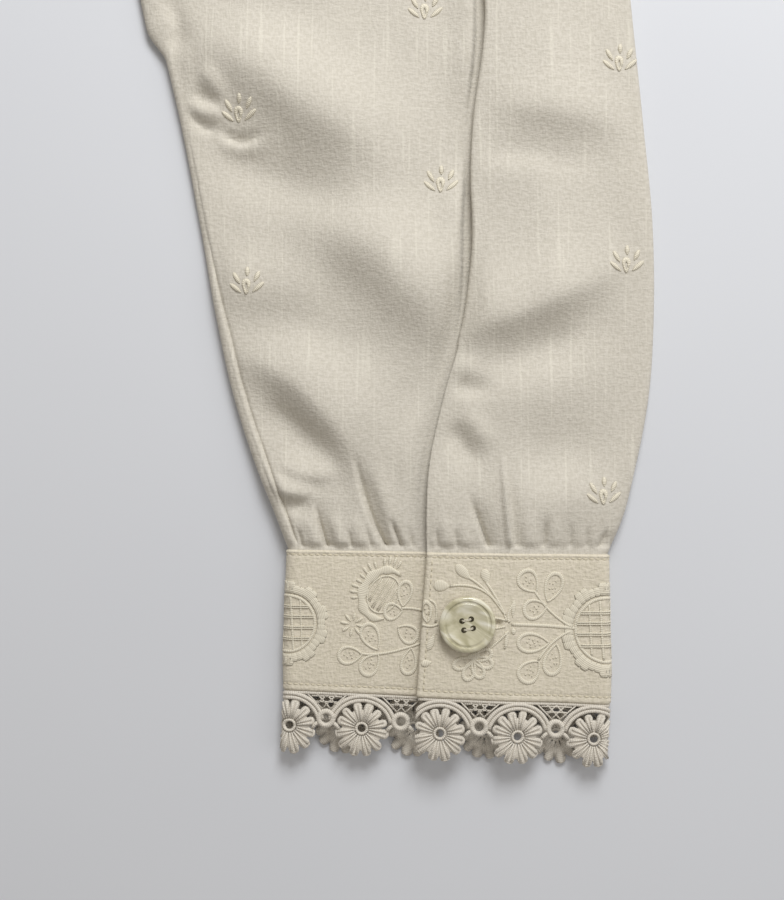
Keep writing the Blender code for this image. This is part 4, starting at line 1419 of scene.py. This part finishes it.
# The whitework in pixels of the photograph, on the cuff's overlap and underlap.  A stem has
# its start, its bend, its end and its width.  A leaf has its middle, its half length and half
# width, the direction of its tip in degrees, from the right upwards, and its number of seeds.
# A petal has its start, its end and its width.  A lattice flower has its middle, its half
# width, the rows of its level bars and the columns of its upright ones.
STEM = 0.82
OVER_LATTICE = ((603, 631), 30.0, (613.5, 624.0, 635.0, 646.6), (587.6, 598.4, 609.0))
UNDER_LATTICE = ((284, 624), 28.0, (607.0, 617.0, 628.0, 639.0), (279.0, 289.0, 298.0))
OVER_STEMS = (
    ((510, 624), (542, 626), (573, 629), 1.05),
    ((570, 628), (549, 612), (534, 592), STEM),
    ((568, 632), (550, 643), (535, 661), STEM),
    ((508, 622), (507, 614), (512, 604), STEM),
    ((504, 632), (506, 640), (503, 648), 0.7),
    ((507, 631), (497, 641), (485, 651), 0.75),
    ((505, 621), (500, 606), (486, 582), STEM),
    ((504, 615), (487, 592), (468, 577), STEM),
    ((499, 606), (478, 588), (450, 586), STEM),
    ((484, 618), (494, 618), (504, 620), 0.7),
    ((484, 628), (494, 628), (504, 626), 0.7),
    ((430, 600), (437, 606), (437, 622), 0.8),
    ((424, 624), (432, 626), (439, 624), 0.8),
)
OVER_LEAVES = (
    ((528, 582), (11.5, 10), -50, 7),
    ((552, 588), (14, 9), -112, 7),
    ((534, 609), (11.5, 9.5), 14, 7),
    ((531, 643), (15, 9.5), 0, 9),
    ((527, 671), (12, 10), 48, 7),
    ((550, 660), (14.5, 9), 78, 7),
    ((428, 612), (10, 5), -80, 3),
)
OVER_PETALS = (
    ((511, 617), (513, 600), 1.5),
    ((511, 627), (512, 634), 1.6),
    ((505, 634), (504, 648), 1.3),
    ((488, 584), (483, 569), 3.2),
    ((470, 579), (456, 565), 3.4),
    ((450, 586), (434, 585), 3.9),
    ((466, 657), (480, 655), 2.6),
    ((436, 634), (430, 650), 2.4),
    ((434, 662), (424, 664), 2.4),
)
FLOWER_HEART = (473, 659)
FLOWER_TIPS = ((456, 666), (467, 680), (481, 676), (490, 664), (489, 652))
UNDER_STEMS = (
    ((401, 609), (411, 609), (422, 611), STEM),
    ((358, 654), (384, 654), (421, 644), STEM),
)
UNDER_LEAVES = (
    ((404.5, 594.5), (12, 7.5), -95, 5),
    ((393, 612), (9, 8.5), 5, 4),
    ((370, 638), (14, 9.5), -58, 7),
    ((407, 634), (11, 9), 150, 5),
    ((348, 656), (12, 9), 6, 6),
    ((369, 665), (12, 9.5), 52, 6),
    ((409, 662), (12.5, 8), 84, 6),
)

# The leaning pod's middle and its parts in pixels beside it, with their turns in degrees: its
# crescent, its field with ribs on it, and its rays from their starts to their ends
POD = (383, 595)
POD_LEAN = 28
CRESCENT = (21, 25)
CRESCENT_TURNS = (74, 308)
FIELD = (15.5, 19)
RIBS = (-9.5, -3.2, 3.2, 9.5)
RIBBED = (14.5, 17.0)
RAY_START = (24, 28)
RAY_END = (35, 40)
RAY_GROUPS = (108, 156, 196)
RAY_SWINGS = (-15, -5, 5, 15)

# The little star's middle, and the starts and ends of its eight petals beside it
STAR = (351, 625)
STAR_HEART = (3.5, 3.5)
STAR_TIPS = (13, 12)


@dataclass
class Whitework:
    """The whitework on one cuff: stems, seeded leaves, buds, small flowers and lattice flowers.

    What would lie on the underside, past the folds, is left out.
    """

    cuff: Cuff
    raised: float = 0.34
    past_fold: float = 1.2
    fans: int = 10

    def __post_init__(self) -> None:
        self.work = ThreadWork()
        self.layer = Layer.OVER
        self.lean = {Layer.OVER: 0.042, Layer.UNDER: 0.07}

    def at(self, x: float, y: float) -> Array:
        """The place of a pixel on the cuff, in its own millimetres."""
        leaning = self.lean[self.layer] * (y - PHOTO_ORIGIN[1])
        return np.array(self.cuff.surface.from_photo(x + leaning, y, self.layer))

    def lay(self, path: Array, width: Numbers, height: float, lift: float = 0.0,
            closed: bool = False, cord: Cord = Cord.RAISED) -> None:
        """Lay a thread, cut off where it would pass round the fold."""
        width = np.broadcast_to(np.asarray(width, float), len(path))
        if self.layer is Layer.OVER:
            kept = path[:, 0] < self.cuff.surface.out_fold + self.past_fold
        else:
            kept = path[:, 0] > self.cuff.surface.arm_fold - self.past_fold
        if not kept.all():
            if closed:
                first = int(np.argmax(~kept))
                path, width, kept = (np.roll(x, -first, axis=0) for x in (path, width, kept))
                closed = False
            path, width = path[kept], width[kept]
        if len(path) > 1:
            self.work.run(path, width, height, lift, closed, cord)

    def stem(self, start: Pair, bend: Pair, end: Pair, width: float) -> None:
        """Lay a stem: a corded line through three pixels."""
        points = [self.at(*pixel) for pixel in (start, bend, end)]
        self.lay(bent(*points, 12), width, self.raised)

    def leaf(self, centre: Pair, reach: Pair, tip: float, seeds: int) -> None:
        """Lay an open leaf: a satin outline, fullest away from its tip, filled with seeds.

        Args:
            centre: its middle.
            reach: its half length and half width.
            tip: the direction of its tip.
            seeds: how many seed stitches fill it.
        """
        middle = self.at(*centre)
        turn = np.arange(22) * math.tau / 22
        long, wide = reach[0] * PIXEL, reach[1] * PIXEL
        angle = math.radians(tip)
        way = np.array((math.cos(angle), -math.sin(angle)))
        cross = np.array((-way[1], way[0]))
        bulge = 1.12 * wide * np.sin(turn) * np.sin(turn / 2) ** 0.7
        path = middle + long * np.cos(turn)[:, None] * way + bulge[:, None] * cross
        full = 0.5 - 0.5 * np.cos(turn)
        self.lay(path, 0.62 + 0.74 * full, self.raised, closed=True)
        for i in range(seeds):
            spin = i * 2.4
            out = 0.52 * math.sqrt((i + 0.5) / seeds)
            spot = (middle + way * (out * long * math.cos(spin) - 0.3)
                    + cross * out * wide * math.sin(spin))
            side = np.array((math.cos(spin * 3.0), math.sin(spin * 3.0))) * 0.28
            self.lay(np.stack((spot - side, spot, spot + side)), np.array((0.3, 0.42, 0.3)), 0.25,
                     cord=Cord.LIGHT)

    def petal(self, start: Pair, end: Pair, width: float) -> None:
        """Lay a padded satin petal between two pixels, round at its end."""
        first, last = self.at(*start), self.at(*end)
        middle = (first + last) / 2
        over = self.layer is Layer.OVER
        fold = self.cuff.surface.out_fold if over else self.cuff.surface.arm_fold
        hand = 1.0 if over else -1.0
        if hand * (middle[0] - fold) < self.past_fold * 0.4:
            self.work.lobe(first, last, width, self.raised + 0.08, 8, 0.62)

    def lattice_flower(self, centre: Pair, reach: float, rows: Sequence[float],
                       columns: Sequence[float]) -> None:
        """Lay a round flower of crossed bars, with scallops of satin stitches round it.

        Args:
            centre: its middle, a pixel.
            reach: the lattice's half width in pixels.
            rows: the pixel rows of its level bars.
            columns: the pixel columns of its upright bars.
        """
        turn = np.arange(48) * math.tau / 48
        middle = self.at(*centre)
        span = reach * PIXEL
        circle = middle + span * np.stack((np.cos(turn), np.sin(turn)), -1)
        self.lay(circle, 1.0, self.raised, closed=True)
        share = np.linspace(0.0, 1.0, 20)[:, None]
        for y in rows:
            half = math.sqrt(max(reach ** 2 - (y - centre[1]) ** 2, 0.0))
            left, right = (self.at(centre[0] + hand * half, y) for hand in (-1, 1))
            for shift in (-0.3, 0.3):
                path = left * (1 - share) + right * share + np.array((0.0, shift))
                self.lay(path, 0.5, 0.3, 0.12, cord=Cord.LIGHT)
        for x in columns:
            half = math.sqrt(max(reach ** 2 - (x - centre[0]) ** 2, 0.0))
            low, high = (self.at(x, centre[1] + hand * half) for hand in (-1, 1))
            self.lay(low * (1 - share) + high * share, 0.75, 0.26, cord=Cord.LIGHT)
        stitch = np.linspace(0.0, 1.0, 5)[:, None]
        for i in range(self.fans * 4):
            swing = abs(i % 4 - 1.5) - 0.5
            angle = (i + 0.5) * math.tau / (self.fans * 4)
            way = np.array((math.cos(angle), math.sin(angle)))
            path = middle + way * (span + 0.8 + (3.9 - 1.2 * swing) * stitch)
            width = np.array((1.8, 2.6, 3.1, 3.0, 1.8)) * (1.0 - 0.12 * swing)
            self.lay(path, width, 0.17, cord=Cord.LIGHT)

    def overlap(self) -> None:
        """Lay the whitework on the cuff's upper end."""
        self.layer = Layer.OVER
        self.lattice_flower(*OVER_LATTICE)
        self.lay_all(OVER_STEMS, OVER_LEAVES, OVER_PETALS)
        for tip in FLOWER_TIPS:
            centre = ((FLOWER_HEART[0] + tip[0]) / 2, (FLOWER_HEART[1] + tip[1]) / 2)
            inward = math.atan2(tip[1] - FLOWER_HEART[1], FLOWER_HEART[0] - tip[0])
            self.leaf(centre, (10, 5.5), math.degrees(inward), 2)

    def underlap(self) -> None:
        """Lay the whitework on the part by the underarm fold."""
        self.layer = Layer.UNDER
        self.lattice_flower(*UNDER_LATTICE)
        self.pod()
        self.lay_all(UNDER_STEMS, UNDER_LEAVES, ())
        for i in range(8):
            angle = i * math.tau / 8 + 0.2
            over, down = math.cos(angle), math.sin(angle)
            start, end = ((STAR[0] + reach[0] * over, STAR[1] + reach[1] * down)
                          for reach in (STAR_HEART, STAR_TIPS))
            self.petal(start, end, 1.1)

    def lay_all(self, stems: Sequence, leaves: Sequence, petals: Sequence) -> None:
        """Lay the stems, leaves and petals of one part."""
        for lay, rows in ((self.stem, stems), (self.leaf, leaves), (self.petal, petals)):
            for row in rows:
                lay(*row)

    def pod(self) -> None:
        """Lay the leaning pod: its scalloped crescent, its ribbed field and its rays."""
        middle = self.at(*POD)
        lean = math.radians(POD_LEAN)

        def leaning(over: Array, rise: Array) -> Array:
            """Places from the pod's middle, in pixels along and across its lean."""
            return middle + PIXEL * np.stack((over * math.cos(lean) + rise * math.sin(lean),
                                              over * math.sin(lean) - rise * math.cos(lean)), -1)

        def oval(reach: Sequence[float], angle: Numbers, shorter: float = 0.0) -> Array:
            """Points of an oval round the pod's middle."""
            return leaning((reach[0] - shorter) * np.cos(angle), (reach[1] - shorter) * np.sin(angle))

        ends = np.sin(np.linspace(0.0, math.pi, 26)) ** 0.4
        bumps = 1.0 + 0.3 * np.cos(np.arange(26) * math.tau / 4.4)
        turn = np.radians(np.linspace(*CRESCENT_TURNS, 26))
        self.lay(oval(CRESCENT, turn), 3.2 * ends * bumps, self.raised + 0.1)
        self.lay(oval(FIELD, np.arange(24) * math.tau / 24), 0.6, 0.3, 0.0, True, Cord.LIGHT)
        for shift in RIBS:
            half = RIBBED[1] * math.sqrt(1.0 - (shift / RIBBED[0]) ** 2)
            for hand in (-1.0, 1.0):
                line = leaning(np.full(5, shift + hand), np.linspace(-half, half, 5))
                self.lay(line, 0.42, 0.24, cord=Cord.LIGHT)
        for angle in RAY_GROUPS:
            for swing in RAY_SWINGS:
                way = np.radians(angle + swing)
                tip = oval(RAY_END, way, abs(swing) * 0.2)
                self.work.lobe(oval(RAY_START, way), tip, 1.15, 0.36, 6, 0.7, Cord.LIGHT)

    def build(self, finishes: Finishes) -> Piece:
        """Make the whitework."""
        self.overlap()
        self.underlap()
        side = self.cuff.side
        piece = self.work.piece(f"cuff_{side.word}_whitework", self.cuff.outside, side is Side.LEFT)
        return dress(piece, finishes.satin)


@dataclass
class Lace:
    """One guipure edging: flowers of padded petals under arches, between small rings."""

    side: Side
    repeat: float = 25.0
    first_flower: float = 8.0
    last_pixel: float = 363.0
    flower_depth: float = 11.2
    ring_depth: float = 8.5
    depth: float = 23.0
    base: float = 1.25
    net: float = 0.5
    seed: int = 12
    petals: int = 12
    petal_start: float = 1.5
    petal_reach: float = 8.5
    petal_width: float = 2.9
    petal_height: float = 0.5
    rib: float = 0.45
    eyelet: float = 1.75
    heart: float = 4.4
    ring: float = 2.3
    arch_reach: Pair = (9.6, 8.9)
    arch_depth: float = 11.0
    arch_cord: float = 1.35

    NET = (((6.8, 0.3), (1.0, 5.8)), ((3.6, 0.3), (-1.4, 5.4)), ((0.6, 0.3), (-3.2, 4.2)))
    LEVEL_NET = ((5.0, 1.4), (3.4, 3.2))

    def __post_init__(self) -> None:
        bottom = CUFF_TABLE.at(-CUFF_HEIGHT)
        self.surface = BandSurface(ArmPlane(self.side), bottom, bottom.lowered(self.depth),
                                   self.base, self.depth)
        self.uneven = np.random.default_rng(self.seed)

    def places(self) -> list[float]:
        """Where the flowers lie round the band, as the photograph shows them on each part."""
        first = [self.first_flower + i * self.repeat for i in range(3)]
        last = self.surface.from_photo(self.last_pixel, PHOTO_ORIGIN[1], Layer.UNDER)[0]
        count = round((last - first[-1]) / self.repeat)
        return first + np.linspace(first[-1], last, count + 1)[1:].tolist()

    def flower(self, work: ThreadWork, s: float) -> None:
        """Lay one flower of ribbed petals round an eyelet."""
        centre = np.array((s, self.flower_depth))
        for i in range(self.petals):
            angle = 360 / self.petals * (i + 0.5) + self.uneven.uniform(-3.0, 3.0)
            low = 1.0 - abs(abs(angle - 180) / 180)
            reach = self.petal_reach + 0.9 * smooth(2.0 * low - 0.7) + self.uneven.uniform(-0.45, 0.15)
            width = self.petal_width + 0.4 * smooth(2.0 * low - 0.7) + self.uneven.uniform(-0.2, 0.35)
            turn = math.radians(angle)
            way = np.array((math.sin(turn), -math.cos(turn)))
            off = np.array((math.cos(turn), math.sin(turn)))
            work.lobe(centre + way * self.petal_start, centre + way * reach, width,
                      self.petal_height, 8, 0.86)
            for hand in (-0.25, 0.25):
                start = centre + way * 2.4 + off * hand * width * 0.4
                end = centre + way * (reach - 0.9) + off * hand * width
                work.run(np.stack((start, (start + end) / 2, end)), (0.5, 0.75, 0.95), self.rib, 0.42)
        work.ring(centre + np.array((0.0, 0.7)), self.heart, 4.6, 0.36)
        work.ring(centre, self.eyelet, 1.0, 0.9)

    def arch(self, work: ThreadWork, s: float) -> None:
        """Lay the double cord that arches over a flower, from ring to ring."""
        turn = np.linspace(math.radians(12), math.radians(168), 21)
        for grow in (-0.1, 1.2):
            path = np.stack((s - (self.arch_reach[0] + grow) * np.cos(turn),
                             self.arch_depth - (self.arch_reach[1] + grow) * np.sin(turn)), -1)
            work.run(path, self.arch_cord, self.arch_cord, 0.1, cord=Cord.ROUND)

    def ground(self, work: ThreadWork, s: float) -> None:
        """Lay the ring and the crossed threads of the net above it."""
        work.ring(np.array((s, self.ring_depth)), self.ring, 1.8, 1.1)
        lines = [((-half, v), (half, v)) for half, v in self.LEVEL_NET]
        for hand in (-1, 1):
            lines += [((hand * a, b), (hand * c, d)) for (a, b), (c, d) in self.NET]
        for line in lines:
            start, end = np.array(line) + np.array((s, 0.0))
            work.run(np.stack((start, (start + end) / 2, end)), self.net, self.net, 0.1,
                     cord=Cord.ROUND)
        for hand in (-1, 1):
            path = np.array([(s + hand * 2.2, 9.6), (s + hand * 3.4, 10.6), (s + hand * 4.4, 11.8)])
            work.run(path, 1.3, 1.0, 0.1, cord=Cord.ROUND)

    def build(self, finishes: Finishes) -> Piece:
        """Make the edging."""
        work = ThreadWork()
        length = self.surface.length
        header = np.stack((np.linspace(0.4, length - 0.4, 160), np.full(160, 0.5)), -1)
        work.run(header, 1.2, 0.9, cord=Cord.ROUND)
        places = self.places()
        for s, following in zip(places, places[1:] + [length]):
            self.flower(work, s)
            self.arch(work, s)
            if following - s > self.repeat * 0.6:
                self.ground(work, s + min(following - s, self.repeat) / 2)
        piece = work.piece(f"lace_{self.side.word}_guipure", self.surface.at,
                           self.side is Side.LEFT)
        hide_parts(f"lace_{self.side.word}")
        return dress(piece, finishes.lace)


@dataclass
class Button:
    """One turned shell button, sewn on through its four holes."""

    side: Side
    across: float = 6.1
    up: float = -21.8
    radius: float = 9.0
    thick: float = 3.0
    sunk: float = 0.9
    turning: tuple[Pair, ...] = ((0.35, 0.0), (0.4, -0.4), (0.35, -0.05), (0.4, 0.2), (0.7, -0.12),
                                 (0.8, -0.23), (0.8, -0.2), (0.8, -0.1))
    rounded: float = 0.9
    sides: int = 64
    thread: float = 0.3
    thread_dip: float = 1.3
    hole: float = 0.95
    hole_sides: int = 20
    hole_offset: float = 2.1
    hole_turn: float = math.radians(12.0)
    base: float = 9.2

    def middle(self) -> Array:
        """The middle of the button's underside, in metres."""
        section = CUFF_TABLE.at(self.up)
        across = (self.across - section.left) / (section.right - section.left) * section.width
        return ArmPlane(self.side).place(section, across, np.array(self.base))

    def holes(self) -> list[Pair]:
        """The four holes' places beside the button's middle."""
        first = SLEEVE_TURN * self.side.value + self.hole_turn + math.radians(45)
        turns = [first + i * math.pi / 2 for i in range(4)]
        return [(math.cos(a) * self.hole_offset, math.sin(a) * self.hole_offset) for a in turns]

    @staticmethod
    def disc(x: float, y: float, z: float, radius: float, thick: float, sides: int) -> Piece:
        """Add a disc with its middle at a place in metres, its sizes being in millimetres."""
        bpy.ops.object.select_all(action="DESELECT")
        bpy.ops.mesh.primitive_cylinder_add(vertices=sides, radius=radius * MM, depth=thick * MM,
                                            location=(x, y, z))
        return bpy.context.object

    def build(self, finishes: Finishes) -> Piece:
        """Turn the button from a disc: dished by insets, rounded by a bevel and drilled."""
        x, y, z = self.middle()
        piece = self.disc(x, y, z + self.thick * MM / 2, self.radius, self.thick, self.sides)
        piece.name = f"button_{self.side.word}_shell"
        bpy.ops.object.transform_apply(location=True, rotation=True, scale=True)
        bpy.ops.object.mode_set(mode="EDIT")
        bpy.ops.mesh.select_all(action="DESELECT")
        mesh = bmesh.from_edit_mesh(piece.data)
        for edge in mesh.edges:
            edge.select_set(any(abs(face.normal.z) > 0.9 for face in edge.link_faces))
        bmesh.update_edit_mesh(piece.data)
        bpy.ops.mesh.bevel(offset=self.rounded * MM, segments=4, profile=0.5)
        bpy.ops.mesh.select_all(action="DESELECT")
        mesh = bmesh.from_edit_mesh(piece.data)
        top = max(mesh.faces, key=lambda face: face.calc_center_median().z * 1000 + face.calc_area())
        top.select_set(True)
        bmesh.update_edit_mesh(piece.data)
        for inset, depth in self.turning:
            bpy.ops.mesh.inset(thickness=inset * MM, depth=depth * MM)
        bpy.ops.object.mode_set(mode="OBJECT")
        cutters = []
        for across, up in self.holes():
            cutters.append(self.disc(x + across * MM, y + up * MM, z, self.hole, 3 * self.thick,
                                     self.hole_sides))
            drill = piece.modifiers.new("hole", "BOOLEAN")
            drill.operation = "DIFFERENCE"
            drill.object = cutters[-1]
            drill.solver = "EXACT"
        bpy.ops.object.select_all(action="DESELECT")
        piece.select_set(True)
        bpy.context.view_layer.objects.active = piece
        for drill in list(piece.modifiers):
            bpy.ops.object.modifier_apply(modifier=drill.name)
        for cutter in cutters:
            bpy.data.objects.remove(cutter)
        bpy.ops.object.shade_smooth_by_angle(angle=math.radians(35))
        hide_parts(f"button_{self.side.word}")
        return dress(piece, finishes.shell)

    def build_threads(self, finishes: Finishes) -> Piece:
        """Make the sewing threads that cross between the holes."""
        place = self.middle()
        work = ThreadWork()
        holes = np.array(self.holes())
        share = np.linspace(-0.06, 1.06, 9)
        dips = -self.thread_dip * (1.0 - np.clip(np.sin(np.clip(share, 0, 1) * math.pi) * 6, 0, 1))
        for start, end in ((holes[0], holes[1]), (holes[3], holes[2])):
            run = (end - start) / np.linalg.norm(end - start)
            for shift in (-0.18, 0.18):
                off = np.array((-run[1], run[0])) * shift
                path = start + (end - start) * share[:, None] + off
                work.run(path, self.thread, self.thread, dips + 0.1, cord=Cord.ROUND)
        level = self.base + self.thick - self.sunk

        def on_dish(x: Array, y: Array, lift: Array) -> Array:
            """Points above the button's dish, in metres."""
            return np.stack((x * MM + place[0], y * MM + place[1], (level + lift) * MM), -1)

        piece = work.piece(f"button_{self.side.word}_thread", on_dish, False)
        return dress(piece, finishes.satin)


@dataclass
class Panel:
    """One body panel, with its hem and its seams."""

    name: str
    drop: float
    folded: bool
    rows: int = 64
    columns: int = 34
    cloth: float = 0.5
    level: float = 0.25
    stitch: float = 2.0
    stitch_pitch: float = 2.9
    stitch_in: float = 6.0
    hem_up: float = 14.0
    hem_in: float = 5.0
    flat: Pair = (0.51, 0.63)
    area: float = 0.29

    def __post_init__(self) -> None:
        self.surface = PanelSurface(self.drop, self.folded, self.level)

    def build(self, finishes: Finishes) -> Piece:
        """Make the panel's cloth."""
        grid = self.surface.grid(self.rows, self.columns)
        x, y = grid[..., 0], grid[..., 1]
        points = self.surface.at(x, y, np.zeros(x.shape))
        piece = grid_piece(f"{self.name}_linen", points, (x, y))
        add_wall(piece, self.cloth)
        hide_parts(self.name)
        return dress(piece, finishes.linen)

    def build_stitches(self, finishes: Finishes) -> Piece:
        """Make the stitches along the hem and round the armholes."""
        work = ThreadWork()
        across = np.linspace(-HEM_HALF + self.hem_in, HEM_HALF - self.hem_in, 400)
        hem = np.stack((across, np.full(across.shape, self.hem_up)), -1)
        inward = self.surface.armhole(np.linspace(0.03, 0.97, 200)) - np.array((self.stitch_in, 0.0))
        for line in (hem, inward, inward * np.array((-1.0, 1.0))):
            work.stitches(line, self.stitch, self.stitch_pitch, (0.35, 0.55, 0.35),
                          (0.05, 0.22, 0.05))
        piece = work.piece(f"stitches_{self.name}", self.on_top, False)
        return dress(piece, finishes.sewing)

    def on_top(self, x: Array, y: Array, lift: Array) -> Array:
        """Points above the panel's upper face, in metres."""
        return self.surface.at(x, y, lift + self.cloth / 2)


@dataclass
class Sprigs:
    """Small embroidered sprigs at a half-drop repeat: a bud on its point and five leaves.

    Those that show lie at pixels of the photograph, and those above them at places in the
    arm's plane.
    """

    across: float = 57.66
    drop: float = 56.0
    first_row: float = 34.0
    margin: float = 16.0
    leaf_width: float = 1.65
    leaf_height: float = 0.5
    bud_reach: Pair = (1.15, 1.95)
    bud_middle: Pair = (0.5, 2.4)

    FOOT = (-0.6, -2.6)
    RAYS = (((-1.2, 0.6), (-4.8, 3.6)), ((-1.6, 3.5), (-3.7, 7.2)), ((0.8, 5.9), (0.9, 9.0)),
            ((3.1, 4.2), (4.8, 7.6)), ((2.5, 0.8), (6.3, 4.0)))
    SEEN = {Layer.UNDER: ((425, 8), (238, 113), (441, 183), (246, 286)),
            Layer.OVER: ((621, 61), (628, 264), (604, 497))}
    ABOVE = {Layer.UNDER: ((-66, 196), (-8, 230), (-72, 252), (-14, 286), (-78, 308), (-22, 342)),
             Layer.OVER: ((52, 216), (46, 274), (30, 250), (34, 330), (12, 308), (6, 366),
                          (-10, 424), (-26, 478))}

    def sprig(self, work: ThreadWork, x: float, y: float) -> None:
        """Lay one sprig round a place on the cloth."""
        foot = np.array((x, y)) + np.array(self.FOOT)
        turn = np.arange(14) * math.tau / 14
        wide = self.bud_reach[0] * (0.66 + 0.34 * np.sin(turn))
        bud = np.stack((self.bud_middle[0] + wide * np.cos(turn),
                        self.bud_middle[1] + self.bud_reach[1] * np.sin(turn)), -1)
        work.run(foot + bud, 0.8 + 1.0 * np.clip(np.sin(turn), 0.0, 1.0), 0.46, closed=True)
        for start, end in self.RAYS:
            work.lobe(foot + np.array(start), foot + np.array(end), self.leaf_width,
                      self.leaf_height, 6, 0.5, Cord.LIGHT)

    def on_sleeve(self, sleeve: Sleeve, finishes: Finishes) -> list[Piece]:
        """Make the sprigs on a sleeve's top layer, one piece for each part of it."""
        made = []
        for layer in Layer:
            work = ThreadWork()
            for place in [plan(*pixel) for pixel in self.SEEN[layer]] + list(self.ABOVE[layer]):
                self.sprig(work, *place)
            piece = work.piece(f"sprigs_{sleeve.side.word}_{layer.value}",
                               sleeve.surface.at_plan(layer, sleeve.surface.CLOTH / 2),
                               sleeve.side is Side.LEFT)
            made.append(dress(piece, finishes.satin))
        return made

    def on_panel(self, panel: Panel, finishes: Finishes) -> Piece:
        """Make the sprigs on a body panel."""
        work = ThreadWork()
        for column in range(-4, 5):
            x = column * self.across
            for row in range(12):
                y = self.first_row + row * self.drop + (column % 2) * self.drop / 2
                if panel.surface.inside(x, y, self.margin):
                    self.sprig(work, x, y)
        piece = work.piece(f"sprigs_{panel.name}", panel.on_top, False)
        return dress(piece, finishes.satin)


@dataclass
class Neckband:
    """Half of the neckband, along one panel's neck edge."""

    name: str
    drop: float
    level: float
    flat: Pair
    wall: float = 1.1
    columns: int = 90
    around: int = 24
    stitch_in: float = 1.6

    def build(self, finishes: Finishes) -> Piece:
        """Make the band as a rounded strip from shoulder to shoulder."""
        share = np.linspace(-1.0, 1.0, self.columns)
        x, y = PanelSurface(self.drop, False, 0.0).neckline(share).T
        slope = np.arctan2(2.0 * self.drop * share, NECK_HALF)
        ends = np.abs(share) ** 3
        out_x = -np.sin(slope) * (1.0 - ends) - np.sign(share) * SHOULDER_LINE[0] * ends
        out_y = np.cos(slope) * (1.0 - ends) + SHOULDER_LINE[1] * ends
        turn = np.arange(self.around) / self.around * math.tau
        half = (NECKBAND_WIDTH - GAP) / 2
        far = GAP + half - half * np.sign(np.cos(turn)) * np.abs(np.cos(turn)) ** 0.35
        rise = self.wall / 2 * np.sign(np.sin(turn)) * np.abs(np.sin(turn)) ** 0.6
        groove = (0.18 * bell(far - GAP - self.stitch_in, 0.5)
                  + 0.18 * bell(NECKBAND_WIDTH - far - self.stitch_in, 0.5))
        rise = np.where(rise > 0, rise - groove, rise)
        points = np.stack((x[:, None] + out_x[:, None] * far, y[:, None] + out_y[:, None] * far
                           - BODY_MIDDLE, np.broadcast_to(self.level + rise, (len(x), self.around))),
                          -1) * MM
        piece = grid_piece(f"{self.name}_linen", points, (x[:, None], far[None]), ring=True,
                           capped=True)
        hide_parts(self.name)
        return dress(piece, finishes.linen)


@dataclass
class Studio:
    """The pale table, the soft light and the camera at the photograph's angle."""

    distance: float = 0.459
    view_angle: float = math.radians(35.5)
    middle: Pair = (PHOTO_SIZE[0] / 2, PHOTO_SIZE[1] / 2)
    table: float = 6.0
    room_light: float = 0.36

    def build(self) -> None:
        """Make the floor, the lights, the world and the camera."""
        bpy.ops.object.select_all(action="DESELECT")
        bpy.ops.mesh.primitive_plane_add(size=self.table, location=(0.0, 0.0, 0.0))
        floor = bpy.context.object
        floor.name = "table_top"
        floor.data.materials.append(PaleTable().make())
        self.aim = self.place(*plan(*self.middle))
        self.add_light("window", (120.0, 760.0), height=0.6, size=0.42, power=7.6)
        self.add_light("fill", (700.0, 0.0), height=0.5, size=0.6, power=1.2)
        world = bpy.context.scene.world or bpy.data.worlds.new("room")
        bpy.context.scene.world = world
        world.use_nodes = True
        background = world.node_tree.nodes["Background"]
        background.inputs["Color"].default_value = linear("FFF8F0")
        background.inputs["Strength"].default_value = self.room_light
        self.add_camera()
        bpy.context.scene.view_settings.view_transform = "Standard"

    def place(self, side: float, up: float) -> Array:
        """A point of the right arm's plane on the ground, in metres."""
        return np.array((*ground(side, up), 0.0)) * MM

    def add_light(self, name: str, plan_place: Pair, height: float, size: float,
                  power: float) -> None:
        """Add a large soft area light that faces the photographed cuff."""
        data = bpy.data.lights.new(name, "AREA")
        data.shape = "SQUARE"
        data.size = size
        data.energy = power
        light = bpy.data.objects.new(name, data)
        bpy.context.scene.collection.objects.link(light)
        place = self.place(*plan_place)
        place[2] = height
        light.location = place
        towards = Vector(self.aim) - Vector(place)
        light.rotation_euler = towards.to_track_quat("-Z", "Y").to_euler()

    def add_camera(self) -> None:
        """Add the camera, straight above the photographed frame's middle."""
        data = bpy.data.cameras.new("camera")
        data.sensor_fit = "VERTICAL"
        data.angle_y = self.view_angle
        camera = bpy.data.objects.new("camera", data)
        bpy.context.scene.collection.objects.link(camera)
        camera.location = (self.aim[0], self.aim[1], self.distance)
        camera.rotation_euler = (0.0, 0.0, SLEEVE_TURN)
        bpy.context.scene.camera = camera


def main() -> None:
    """Build the shirt from the body outwards, then the studio round it."""
    logging.basicConfig(level=logging.INFO, format="%(name)s %(message)s")
    finishes = Finishes()
    front = Panel("front", FRONT_NECK_DROP, False, rows=20, columns=12)
    back = Panel("back", BACK_NECK_DROP, True)
    sprigs = Sprigs()
    front.build(finishes)
    cloth = back.build(finishes)
    sprigs.on_panel(back, finishes)
    back.build_stitches(finishes)
    front_band = Neckband("neckband_front", FRONT_NECK_DROP, 0.55, flat=(0.395, 0.01))
    back_band = Neckband("neckband_back", BACK_NECK_DROP, SEAM_HEIGHT, flat=(0.25, 0.01))
    for band, below in ((front_band, "table_top"), (back_band, "front_linen")):
        band.build(finishes)
    for side in Side:
        sleeve = Sleeve(side)
        cloth = sleeve.build(finishes)
        sprigs.on_sleeve(sleeve, finishes)
        cuff = Cuff(side)
        band = cuff.build(finishes)
        added = [cuff.build_stitches(finishes), Whitework(cuff).build(finishes)]
        lace = Lace(side)
        added.append(lace.build(finishes))
        button = Button(side)
        button.build(finishes)
        button.build_threads(finishes)
    Studio().build()


if __name__ == "__main__":
    main()
